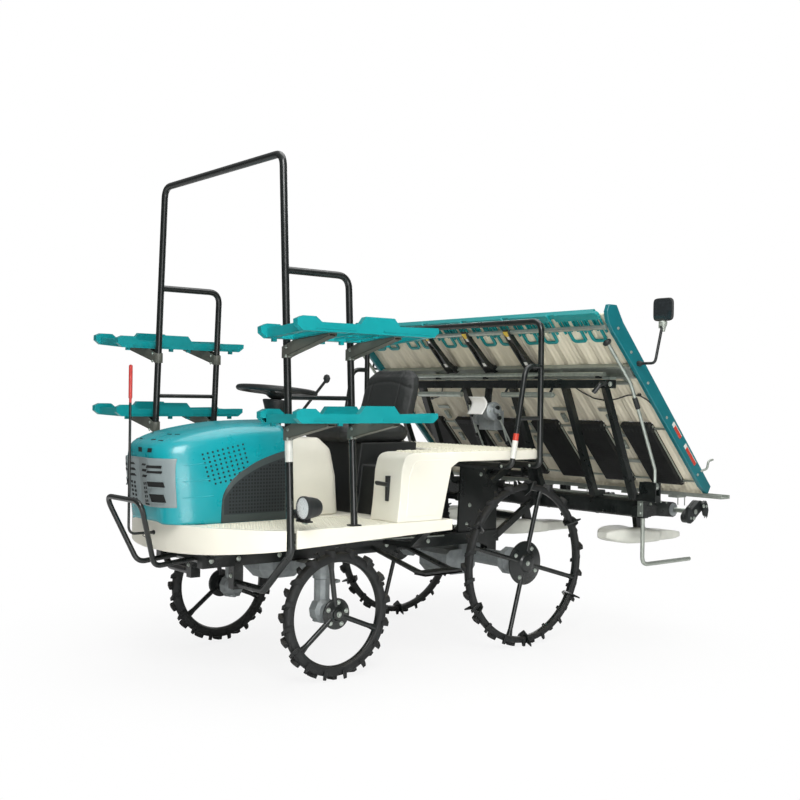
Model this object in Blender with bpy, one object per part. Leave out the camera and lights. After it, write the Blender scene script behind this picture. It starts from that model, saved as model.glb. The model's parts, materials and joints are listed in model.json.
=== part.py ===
"""Six-row riding rice transplanter.

Metres, +Z up, +X the way it drives, +Y the driver's left.  Every place is first
written from the middle of the rear axle on the ground; the last step moves the
whole machine so that the origin lies under the middle of its box.
"""
import math

import bmesh
import bpy
from mathutils import Matrix, Vector

for old in list(bpy.data.objects):
    bpy.data.objects.remove(old)

# Clearances and fineness
SEAT_GAP = 0.0003
TINY = 0.00001
OVERRUN = 0.004
TUBE_SIDES = 6
POST_SIDES = 8
BEND_STEPS = 3
RING_STEPS = 24
ROUND_STEPS = 10
SHAFT_STEPS = 16

# Running gear
WHEELBASE = 1.185
FRONT_TRACK = 1.012
REAR_TRACK = 1.026
FRONT_WHEEL_RADIUS = 0.294
REAR_WHEEL_RADIUS = 0.424
LUG_HEIGHT = 0.017
FRONT_LUGS = 20
REAR_LUGS = 24
FRONT_RIM_RADIUS = 0.230
REAR_RIM_RADIUS = 0.374
TYRE_WIDTH = 0.046
LUG_WIDTH = 0.058
LUG_LENGTH = 0.022
HUB_SPREAD = 0.036
FRONT_HUB_RADIUS = 0.070
REAR_HUB_RADIUS = 0.112
FRONT_SPOKES = 3
REAR_SPOKES = 4
FRONT_SPOKE_PHASE = 0.317
REAR_SPOKE_PHASE = 0.820
SPOKE_RADIUS = 0.012
PADDLES = 6
PADDLE_SPREAD = 0.056
PADDLE_DEPTH = 0.075
PADDLE_THICK = 0.012

# Axles
STUB_RADIUS = 0.026
KINGPIN_INSET = 0.112
KINGPIN_RADIUS = 0.036
KINGPIN_TOP = 0.455
KINGPIN_FOOT = 0.245
KNUCKLE_RADIUS = 0.058
FRONT_BEAM_WIDTH = 0.090
AXLE_TUBE_RADIUS = 0.040
FRONT_GEARBOX_LENGTH = 0.260
FRONT_GEARBOX_WIDTH = 0.230
FRONT_GEARBOX_FOOT = 0.400
FRONT_GEARBOX_TOP = 0.585
REAR_HOUSING_SIZE = 0.085
FINAL_DRIVE_RADIUS = 0.072
FINAL_DRIVE_WIDTH = 0.075

# Main frame
RAIL_SPREAD = 0.195
RAIL_WIDTH = 0.045
RAIL_DEPTH = 0.060
RAIL_HEIGHT = 0.560
FRAME_FRONT = 1.700
ENGINE_GAP = 0.014
ENGINE_INSET = 0.080
FRAME_REAR = -0.100
CROSS_RADIUS = 0.020
UPRIGHT_THICK = 0.012
GUARD_FRONT = 1.975
GUARD_FOOT_X = 1.860
GUARD_TOP = 0.805
GUARD_FOOT = 0.508
GUARD_HALF = 0.175
GUARD_FOOT_HALF = 0.080
GUARD_RADIUS = 0.0125

# Decks
DECK_TOP = 0.698
DECK_NOSE_DEPTH = 0.125
DECK_SIDE_DEPTH = 0.078
DECK_REAR_DEPTH = 0.050
DECK_WALL = 0.012
DECK_HALF = 0.652
DECK_FRONT = 1.822
DECK_SHOULDER = 1.500
DECK_NOSE_HALF = 0.390
DECK_REAR = 0.626
REAR_DECK_TOP = 1.010
REAR_DECK_FRONT = 0.945
REAR_DECK_REAR = 0.040
REAR_DECK_LIP = 0.045
REAR_DECK_NOTCH = 0.450
ARCH_FRONT = 0.633

# Bonnet
BONNET_REAR = 1.285
PANEL_PROUD = 0.005
PANEL_SLOTS = 5
PANEL_SLOT_WIDTH = 0.014
BONNET_FRONT = 1.900
BONNET_LEAN = 0.045
BONNET_HALF = 0.250
BONNET_TOP = 1.150
BONNET_WALL = 0.008

# Driver's place
CONSOLE_REAR = 0.930
CONSOLE_HALF = 0.195
CONSOLE_TOP = 1.065
COLUMN_RADIUS = 0.030
STEERING_X = 1.186
STEERING_HEIGHT = 1.288
STEERING_RADIUS = 0.197
STEERING_RIM = 0.014
STEERING_TILT = math.radians(5.5)
SEAT_BASE_FRONT = 0.870
SEAT_BASE_REAR = 0.470
SEAT_BASE_HALF = 0.200
SEAT_BASE_TOP = 1.040
SEAT_SKIRT_HALF = 0.405
SEAT_SKIRT_TOP = 0.930
SEAT_HALF = 0.215
SEAT_FRONT = 0.930
SEAT_REAR = 0.485
SEAT_THICK = 0.095
SEAT_BACK_TOP = 1.415
SEAT_BACK_THICK = 0.085
SEAT_BACK_LEAN = 0.075

# Seedling racks
POST_RADIUS = 0.0165
HOOP_X = 1.517
LADDER_X = 1.184
HOOP_TOP = 2.296
HOOP_TOP_HALF = 0.535
HOOP_FLARE_SHARE = 0.0596
HOOP_BEND = 0.060
LADDER_TOP = 1.795
RUNG_HEIGHT = 1.255
HOOP_KNEE = 0.600
HOOP_FOOT = 0.420
TRAY_FRONT = 1.705
TRAY_REAR = 0.980
TRAY_INNER = 0.655
TRAY_WIDTH = 0.290
TRAY_DEPTH = 0.046
UPPER_TRAY_FOOT = 1.495
LOWER_TRAY_FOOT = 1.150
UPPER_TRAY_TILT = math.radians(4.5)
LOWER_TRAY_TILT = math.radians(1)
TRAY_RAIL = 0.030
TRAY_RIB = 0.014
TRAY_HUMP_LENGTH = 0.150
TRAY_HUMP_OFFSET = 0.048
TRAY_HUMP_HEIGHT = 0.024
TRAY_END_LENGTH = 0.090
TRAY_RIBS = 6
BRACKET_WIDTH = 0.040
BRACKET_DROP = 0.075
BRACKET_ROOT = 0.060

# Rear guard rail
ARCH_X = 0.100
ARCH_HALF = 0.705
ARCH_TOP = 1.650
ARCH_FOOT = 0.935
ARCH_RADIUS = 0.015
ARCH_BEND = 0.060
ARCH_RAIL_TOP = 1.425
ARCH_RAIL_X = 0.205
ARCH_RAIL_FOOT_X = 0.295
ARCH_RUNG = 1.170

# Small pieces of the tractor
MARKER_ROD_X = 1.945
MARKER_ROD_TOP = 1.385
MARKER_ROD_RADIUS = 0.006
LAMP_X = 1.500
LAMP_Y = 0.695
LAMP_HEIGHT = 0.797
LAMP_RADIUS = 0.050
LAMP_LENGTH = 0.085
STIRRUP_HEIGHT = 0.440
STIRRUP_X = 0.665
STIRRUP_LENGTH = 0.230

# Lift
LINK_X = -0.060
LINK_HEIGHT = 0.470
LINK_REAR_X = -0.440
LINK_REAR_HEIGHT = 0.700
LINK_RISE = 0.250
LOWER_SPREAD = 0.150
UPPER_SPREAD = 0.060
EYE_RADIUS = 0.030
EYE_WIDTH = 0.026
LINK_BAR = 0.014
PLATE_THICK = 0.012
LEVER_LENGTH = 0.115
LEVER_ANGLE = math.radians(58)
CYLINDER_X = 0.330
CYLINDER_HEIGHT = 0.620
CYLINDER_RADIUS = 0.026
CYLINDER_EYE_HALF = 0.030
ROD_RADIUS = 0.012

# Seedling tank
TANK_TOP_X = -0.045
TANK_TOP = 1.690
TANK_FOOT_X = -0.850
TANK_FOOT = 0.790
TANK_HALF = 1.015
ROWS = 6
ROW_SHARE = 0.957635
ROW_PITCH = 2 * TANK_HALF * ROW_SHARE / ROWS
PLATE_SHEET = 0.012
RIDGE_HEIGHT = 0.0075
RIDGES_PER_ROW = 3
DIVIDER_HEIGHT = 0.040
DIVIDER_WIDTH = 0.018
SIDE_RAIL_THICK = 0.026
SIDE_RAIL_DEPTH = 0.085
SIDE_RAIL_FOOT_DEPTH = 0.050
BELT_SHARE = 0.574
BELT_WIDTH = ROW_PITCH * BELT_SHARE
BELT_RUN_SHARES = (0.60, 0.95)
BELT_THICK = 0.052
BELT_SHAFT = 0.006
COMB_FINGER = 0.014
CHANNEL_HEIGHT = 1.425
CHANNEL_DEPTH = 0.075
CHANNEL_THICK = 0.028
PRESS_TUBE_RADIUS = 0.012
TANK_TRAVEL = 0.140

# Planting section
BEAM_X = -0.215
BEAM_HEIGHT = 1.345
BEAM_SIZE = 0.042
BEAM_HALF = 0.900
POST_FOOT_X = -0.440
POST_CLEARANCE = 0.012
DRIVE_BEAM_X = -0.530
DRIVE_BEAM_SIZE = 0.090
DRIVE_BEAM_HEIGHT = 0.705
DRIVE_BEAM_HALF = 0.870
CASE_WIDTH = 0.070
CASE_HEIGHT = 0.100
ROTOR_X = -1.000
ROTOR_HEIGHT = 0.660
ROTOR_CASE_WIDTH = 0.050
ROTOR_ARM_RADIUS = 0.125
ROTOR_SHAFT_RADIUS = 0.014
MIDDLE_FLOAT_FRONT = -0.180
MIDDLE_FLOAT_REAR = -0.890
SIDE_FLOAT_FRONT = -0.445
SIDE_FLOAT_REAR = -1.030
FLOAT_FOOT = 0.500
FLOAT_HEIGHT = 0.065
FLOAT_HALF = 0.100
SLIDE_RAIL_HALF = 1.115
SLIDE_RAIL_HEIGHT = 0.758
SLIDE_RAIL_X = -0.865
SLIDE_RAIL_WIDTH = 0.075
SLIDE_RAIL_THICK = 0.020
MARKER_ARM_X = -0.445
MARKER_ARM_Y = 0.985
MARKER_ARM_HEIGHT = 0.830
MARKER_ARM_RADIUS = 0.010
MARKER_ARM_TOP_X = -0.060
MARKER_ARM_TOP = 1.550
STAND_X = -0.455
STAND_REAR_X = -0.850
STAND_Y = 0.905
STAND_HEIGHT = 0.425
STAND_TOP = 0.800
STAND_RADIUS = 0.011
MIRROR_WIDTH = 0.120
MIRROR_HEIGHT = 0.115
MIRROR_Y = 1.118


# Materials
def paint(name, colour, roughness, metallic=0.0):
    material = bpy.data.materials.new(name)
    material.use_nodes = True
    shader = material.node_tree.nodes["Principled BSDF"]
    shader.inputs["Base Color"].default_value = (*colour, 1.0)
    shader.inputs["Roughness"].default_value = roughness
    shader.inputs["Metallic"].default_value = metallic
    return material


TEAL = paint("teal_paint", (0.010, 0.330, 0.370), 0.35)
TEAL_PLASTIC = paint("teal_plastic", (0.012, 0.300, 0.290), 0.45)
DARK_TEAL = paint("dark_teal_paint", (0.008, 0.120, 0.135), 0.40)
CREAM = paint("cream_plastic", (0.780, 0.760, 0.640), 0.45)
BLACK = paint("black_paint", (0.014, 0.016, 0.015), 0.40)
BLACK_PLASTIC = paint("black_plastic", (0.020, 0.021, 0.022), 0.55)
RUBBER = paint("rubber", (0.016, 0.016, 0.016), 0.75)
GREY_METAL = paint("grey_casting", (0.280, 0.285, 0.280), 0.50, 0.6)
ZINC = paint("zinc_plate", (0.520, 0.560, 0.500), 0.35, 0.8)
GRILLE_GREY = paint("grille_grey", (0.230, 0.270, 0.270), 0.40)
FLOAT_GREY = paint("float_plastic", (0.580, 0.590, 0.530), 0.50)
SEAT_BLACK = paint("seat_vinyl", (0.025, 0.027, 0.026), 0.60)
RED = paint("red_plastic", (0.600, 0.020, 0.015), 0.40)


# Small geometry helpers
def point(x, y, z):
    return Vector((x, y, z))


def solid(bm):
    bmesh.ops.recalc_face_normals(bm, faces=bm.faces)
    mesh = bpy.data.meshes.new("piece")
    bm.to_mesh(mesh)
    bm.free()
    piece = bpy.data.objects.new("piece", mesh)
    bpy.context.scene.collection.objects.link(piece)
    return piece


def skin(rings):
    """Closed solid through rings of equally many points, with flat ends."""
    bm = bmesh.new()
    rows = [[bm.verts.new(p) for p in ring] for ring in rings]
    count = len(rows[0])
    for low, high in zip(rows, rows[1:]):
        for i in range(count):
            j = (i + 1) % count
            bm.faces.new((low[i], low[j], high[j], high[i]))
    bm.faces.new(rows[0][::-1])
    bm.faces.new(rows[-1])
    return solid(bm)


def prism(outline, axis, low, high):
    """Outline given in the two other axes, in X, Y, Z order, pushed along an axis."""
    def place(a, b, depth):
        if axis == "X":
            return point(depth, a, b)
        if axis == "Y":
            return point(a, depth, b)
        return point(a, b, depth)
    return skin([[place(a, b, depth) for a, b in outline] for depth in (low, high)])


def box(low, high):
    outline = [(low[0], low[1]), (high[0], low[1]), (high[0], high[1]), (low[0], high[1])]
    return prism(outline, "Z", low[2], high[2])


def rounded(points, bend):
    """Path whose corners are arcs of the bend radius, where the legs allow it."""
    path = [points[0]]
    for before, corner, after in zip(points, points[1:], points[2:]):
        first = (before - corner)
        second = (after - corner)
        half_angle = first.angle(second) / 2
        if bend == 0 or half_angle > math.radians(89):
            path.append(corner)
            continue
        reach = min(bend / math.tan(half_angle), first.length / 2, second.length / 2)
        start = corner + first.normalized() * reach
        finish = corner + second.normalized() * reach
        for step in range(BEND_STEPS + 1):
            share = step / BEND_STEPS
            path.append(start.lerp(corner, share).lerp(corner.lerp(finish, share), share))
    path.append(points[-1])
    return path


def tube(points, radius, bend=0, sides=TUBE_SIDES, end_radius=None):
    """Round bar swept along a path with arc bends; it may taper to its end."""
    path = rounded([Vector(p) for p in points], bend)
    tip = radius if end_radius is None else end_radius
    forward = (path[1] - path[0]).normalized()
    side = forward.orthogonal().normalized()
    rings = []
    for i, centre in enumerate(path):
        ahead = (path[min(i + 1, len(path) - 1)] - centre)
        behind = (centre - path[max(i - 1, 0)])
        along = (ahead.normalized() + behind.normalized()).normalized()
        side = (side - along * side.dot(along)).normalized()
        across = along.cross(side)
        size = radius + (tip - radius) * i / (len(path) - 1)
        ring = []
        for k in range(sides):
            angle = math.tau * (k + 0.5) / sides
            ring.append(centre + (side * math.cos(angle) + across * math.sin(angle)) * size)
        rings.append(ring)
    return skin(rings)


def bar(points, width, depth, across):
    """Flat bar swept along straight runs; across is the direction of its width."""
    wide = Vector(across).normalized()
    path = [Vector(p) for p in points]
    rings = []
    for i, centre in enumerate(path):
        ahead = (path[min(i + 1, len(path) - 1)] - centre).normalized()
        behind = (centre - path[max(i - 1, 0)]).normalized()
        along = (ahead + behind).normalized()
        up = along.cross(wide).normalized()
        stretch = 1 / max(along.dot(ahead if i == 0 else behind), 0.5)
        rings.append([centre + wide * a * width / 2 + up * b * depth / 2 * stretch
                      for a, b in ((-1, -1), (1, -1), (1, 1), (-1, 1))])
    return skin(rings)


def turned(profile, centre, axis, steps=ROUND_STEPS):
    """Solid of revolution; profile is (radius, distance along the axis) from end to end."""
    centre = Vector(centre)
    along = Vector(axis).normalized()
    side = along.orthogonal().normalized()
    across = along.cross(side)
    bm = bmesh.new()
    rows = []
    for radius, distance in profile:
        middle = centre + along * distance
        if radius == 0:
            rows.append([bm.verts.new(middle)])
            continue
        rows.append([bm.verts.new(middle + (side * math.cos(math.tau * k / steps)
                     + across * math.sin(math.tau * k / steps)) * radius) for k in range(steps)])
    for low, high in zip(rows, rows[1:]):
        for k in range(steps):
            j = (k + 1) % steps
            corners = [low[k % len(low)], low[j % len(low)], high[j % len(high)], high[k % len(high)]]
            unique = list(dict.fromkeys(corners))
            if len(unique) > 2:
                bm.faces.new(unique)
    for end in (rows[0], rows[-1]):
        if len(end) > 1:
            bm.faces.new(end)
    return solid(bm)


def hoop_ring(profile, centre, axis, steps=RING_STEPS):
    """Ring turned from a closed profile of (radius, distance along the axis)."""
    centre = Vector(centre)
    along = Vector(axis).normalized()
    side = along.orthogonal().normalized()
    across = along.cross(side)
    bm = bmesh.new()
    rows = []
    for k in range(steps):
        angle = math.tau * k / steps
        out = side * math.cos(angle) + across * math.sin(angle)
        rows.append([bm.verts.new(centre + along * d + out * r) for r, d in profile])
    count = len(profile)
    for k in range(steps):
        low, high = rows[k], rows[(k + 1) % steps]
        for i in range(count):
            j = (i + 1) % count
            bm.faces.new((low[i], low[j], high[j], high[i]))
    return solid(bm)


def cylinder(start, finish, radius, sides=ROUND_STEPS):
    start, finish = Vector(start), Vector(finish)
    length = (finish - start).length
    return turned([(radius, 0), (radius, length)], start, finish - start, sides)


def moved(piece, matrix):
    piece.data.transform(matrix)
    if matrix.determinant() < 0:
        piece.data.flip_normals()
    return piece


def joined(pieces):
    bm = bmesh.new()
    for piece in pieces:
        bm.from_mesh(piece.data)
    result = solid_as_is(bm)
    for piece in pieces:
        bpy.data.objects.remove(piece)
    return result


def solid_as_is(bm):
    mesh = bpy.data.meshes.new("piece")
    bm.to_mesh(mesh)
    bm.free()
    piece = bpy.data.objects.new("piece", mesh)
    bpy.context.scene.collection.objects.link(piece)
    return piece


def combine(base, tools, operation):
    tool = joined(tools)
    step = base.modifiers.new("combine", "BOOLEAN")
    step.operation = operation
    step.solver = "EXACT"
    step.use_self = True
    step.object = tool
    graph = bpy.context.evaluated_depsgraph_get()
    mesh = bpy.data.meshes.new_from_object(base.evaluated_get(graph))
    base.modifiers.clear()
    base.data = mesh
    bpy.data.objects.remove(tool)
    return base


def cut(base, tools):
    return combine(base, tools, "DIFFERENCE")


def node(name, pieces, material, pivot=None, smooth=35):
    """Fuse the pieces into one named solid, with its origin on its joint's axis."""
    piece = pieces[0] if len(pieces) == 1 else combine(pieces[0], pieces[1:], "UNION")
    bm = bmesh.new()
    bm.from_mesh(piece.data)
    bmesh.ops.remove_doubles(bm, verts=bm.verts, dist=TINY)
    bmesh.ops.dissolve_degenerate(bm, edges=bm.edges, dist=TINY)
    bm.to_mesh(piece.data)
    bm.free()
    piece.name = name
    piece.data.name = name
    piece.data.materials.clear()
    piece.data.materials.append(material)
    piece.data.shade_smooth()
    piece.data.set_sharp_from_angle(angle=math.radians(smooth))
    if pivot is not None:
        pivot = Vector(pivot)
        piece.data.transform(Matrix.Translation(-pivot))
        piece.location = pivot
    return piece


# Wheels
def lug(radius, angle, hand, length=LUG_LENGTH, top_share=0.6):
    """One slanted tread block that stands on the tyre, on one side of its middle."""
    root = radius - LUG_HEIGHT - OVERRUN
    skew = length
    rows = []
    for r, size in ((root, 1.0), (radius, top_share)):
        half = length * size / 2
        near, far = 0.0, hand * LUG_WIDTH / 2 * (0.8 + 0.2 * size)
        rows.append([(r, near, -half), (r, far, skew - half), (r, far, skew + half), (r, near, half)])
    rings = [[point(math.cos(t / radius + angle) * r, y, math.sin(t / radius + angle) * r)
              for r, y, t in row] for row in rows]
    return skin(rings)


def paddle(radius, angle):
    """Pointed cross plate that stands out on both sides of the rear rim."""
    tip = radius - OVERRUN
    shares = ((0, 1), (0.45, 0.75), (1, 0.98), (0.62, 0.35), (0, 0),
              (-0.62, 0.35), (-1, 0.98), (-0.45, 0.75))
    outline = [(a * PADDLE_SPREAD, tip - PADDLE_DEPTH * (1 - b)) for a, b in shares]
    rings = [[point(r, y, t) for y, r in outline] for t in (-PADDLE_THICK / 2, PADDLE_THICK / 2)]
    return moved(skin(rings), Matrix.Rotation(-angle, 4, "Y"))


def wheel(name, radius, rim_radius, lugs, spokes, phase, hub_radius, x, y, paddles=0):
    side = math.copysign(1, y)
    tread = radius - LUG_HEIGHT
    crown = (tread - rim_radius) * 0.3
    half = TYRE_WIDTH / 2
    profile = [(rim_radius, -half * 0.4), (rim_radius + crown, -half), (tread, -half * 0.7),
               (tread, half * 0.7), (rim_radius + crown, half), (rim_radius, half * 0.4)]
    tyre = hoop_ring(profile, (0, 0, 0), (0, 1, 0), RING_STEPS)
    pieces = [tyre]
    for k in range(lugs):
        pieces.append(lug(radius, math.tau * k / lugs, 1 if k % 2 else -1))
    hub_half = HUB_SPREAD / 2
    hub_shares = ((0.55, -1.6), (0.62, -0.4), (1.0, -0.3), (1.0, 0.4), (0.45, 0.7), (0.36, 1.3))
    pieces.append(turned([(hub_radius * r, hub_half * d * side) for r, d in hub_shares], (0, 0, 0),
                         (0, 1, 0)))
    for k in range(spokes):
        angle = -math.tau * (k + phase) / spokes
        out = point(math.cos(angle), 0, math.sin(angle))
        pieces.append(cylinder(out * hub_radius * 0.5, out * (rim_radius + crown), SPOKE_RADIUS, TUBE_SIDES))
    for k in range(paddles):
        pieces.append(paddle(radius, math.tau * (k + 0.5) / paddles))
    for piece in pieces:
        moved(piece, Matrix.Translation((x, y, radius)))
    return node(name, pieces, RUBBER, (x, y, radius))


def wheels():
    for name, side in (("left", 1), ("right", -1)):
        wheel("wheel_front_" + name, FRONT_WHEEL_RADIUS, FRONT_RIM_RADIUS, FRONT_LUGS, FRONT_SPOKES,
              FRONT_SPOKE_PHASE, FRONT_HUB_RADIUS, WHEELBASE, side * FRONT_TRACK / 2)
        wheel("wheel_rear_" + name, REAR_WHEEL_RADIUS, REAR_RIM_RADIUS, REAR_LUGS, REAR_SPOKES,
              REAR_SPOKE_PHASE, REAR_HUB_RADIUS, 0, side * REAR_TRACK / 2, PADDLES)


HUB_INNER = HUB_SPREAD / 2 * 1.6
KINGPIN_Y = FRONT_TRACK / 2 - KINGPIN_INSET


# Axles and frame
def knuckles():
    for name, side in (("left", 1), ("right", -1)):
        y = side * KINGPIN_Y
        inner = side * (FRONT_TRACK / 2 - HUB_INNER - SEAT_GAP)
        column = turned([(KINGPIN_RADIUS * 1.15, 0), (KINGPIN_RADIUS, KINGPIN_RADIUS),
                         (KINGPIN_RADIUS, KINGPIN_TOP - KINGPIN_FOOT - KINGPIN_RADIUS * 0.5),
                         (KINGPIN_RADIUS * 1.2, KINGPIN_TOP - KINGPIN_FOOT - KINGPIN_RADIUS * 0.4),
                         (KINGPIN_RADIUS * 1.2, KINGPIN_TOP - KINGPIN_FOOT)],
                        (WHEELBASE, y, KINGPIN_FOOT), (0, 0, 1), ROUND_STEPS)
        reach = abs(inner - y)
        gear = turned([(KNUCKLE_RADIUS * 0.6, -KNUCKLE_RADIUS * 0.8), (KNUCKLE_RADIUS, -KNUCKLE_RADIUS * 0.3),
                       (KNUCKLE_RADIUS, reach * 0.35), (KNUCKLE_RADIUS * 0.75, reach * 0.55),
                       (STUB_RADIUS, reach * 0.6), (STUB_RADIUS, reach)],
                      (WHEELBASE, y, FRONT_WHEEL_RADIUS), (0, side, 0), ROUND_STEPS)
        arm = bar([(WHEELBASE, y, KINGPIN_TOP - KINGPIN_RADIUS * 1.2),
                   (WHEELBASE - KNUCKLE_RADIUS * 2.0, y - side * KINGPIN_RADIUS,
                    KINGPIN_TOP - KINGPIN_RADIUS * 1.2)],
                  KINGPIN_RADIUS, PLATE_THICK, (0, 1, 0))
        node("knuckle_" + name, [column, gear, arm], GREY_METAL, (WHEELBASE, y, FRONT_WHEEL_RADIUS))


def front_axle():
    low = KINGPIN_TOP + SEAT_GAP
    pieces = []
    for side in (1, -1):
        y = side * KINGPIN_Y
        pieces.append(turned([(KINGPIN_RADIUS * 1.2, 0), (KINGPIN_RADIUS * 1.45, KINGPIN_RADIUS),
                              (KINGPIN_RADIUS * 1.2, KINGPIN_RADIUS * 1.9),
                              (KINGPIN_RADIUS * 0.5, KINGPIN_RADIUS * 2.3)],
                             (WHEELBASE, y, low), (0, 0, 1)))
    pieces.append(box((WHEELBASE - FRONT_BEAM_WIDTH / 2, -KINGPIN_Y, low),
                      (WHEELBASE + FRONT_BEAM_WIDTH / 2, KINGPIN_Y, RAIL_HEIGHT - RAIL_DEPTH - SEAT_GAP)))
    half_x, half_y = FRONT_GEARBOX_LENGTH / 2, FRONT_GEARBOX_WIDTH / 2
    cut_corner = FRONT_GEARBOX_WIDTH * 0.2
    outline = [(-half_x, -half_y + cut_corner), (-half_x + cut_corner, -half_y),
               (half_x - cut_corner, -half_y),
               (half_x, -half_y + cut_corner), (half_x, half_y - cut_corner), (half_x - cut_corner, half_y),
               (-half_x + cut_corner, half_y), (-half_x, half_y - cut_corner)]
    rings = []
    height = FRONT_GEARBOX_TOP - FRONT_GEARBOX_FOOT
    for share, size in ((0, 0.7), (0.25, 1.0), (0.8, 1.0), (1, 0.85)):
        rings.append([point(WHEELBASE + a * size, b * size, FRONT_GEARBOX_FOOT + height * share) for a,
                      b in outline])
    pieces.append(skin(rings))
    node("front_axle_case", pieces, GREY_METAL)


def rear_axle():
    pieces = []
    hub_face = REAR_TRACK / 2 - HUB_INNER - SEAT_GAP
    tube_radius = AXLE_TUBE_RADIUS
    for side in (1, -1):
        profile = [(tube_radius, 0), (tube_radius * 1.1, hub_face - FINAL_DRIVE_WIDTH * 1.9),
                   (FINAL_DRIVE_RADIUS * 0.85, hub_face - FINAL_DRIVE_WIDTH * 1.5),
                   (FINAL_DRIVE_RADIUS, hub_face - FINAL_DRIVE_WIDTH * 1.3),
                   (FINAL_DRIVE_RADIUS, hub_face - FINAL_DRIVE_WIDTH * 0.8),
                   (FINAL_DRIVE_RADIUS * 0.6, hub_face - FINAL_DRIVE_WIDTH * 0.6),
                   (STUB_RADIUS * 1.1, hub_face - FINAL_DRIVE_WIDTH * 0.5), (STUB_RADIUS * 1.1, hub_face)]
        pieces.append(turned(profile, (0, 0, REAR_WHEEL_RADIUS), (0, side, 0)))
        # lug that bears on the frame rail
        near, far = sorted((side * REAR_HOUSING_SIZE, side * (RAIL_SPREAD - UPRIGHT_THICK)))
        pieces.append(box((0, near, REAR_WHEEL_RADIUS), (REAR_HOUSING_SIZE * 0.8, far,
                                                         RAIL_HEIGHT - RAIL_DEPTH - SEAT_GAP)))
    size = REAR_HOUSING_SIZE
    outline_shares = ((-0.35, -0.75), (0.0, -1.2), (1.65, -1.2), (2.1, -0.75), (2.1, 0.1), (1.75, 0.35),
                      (-0.1, 0.35),
                      (-0.35, 0.1))
    pieces.append(prism([(size * a, REAR_WHEEL_RADIUS + size * b) for a, b in outline_shares], "Y",
                        -size * 1.3, size * 1.3))
    node("rear_axle_case", pieces, GREY_METAL)


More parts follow.
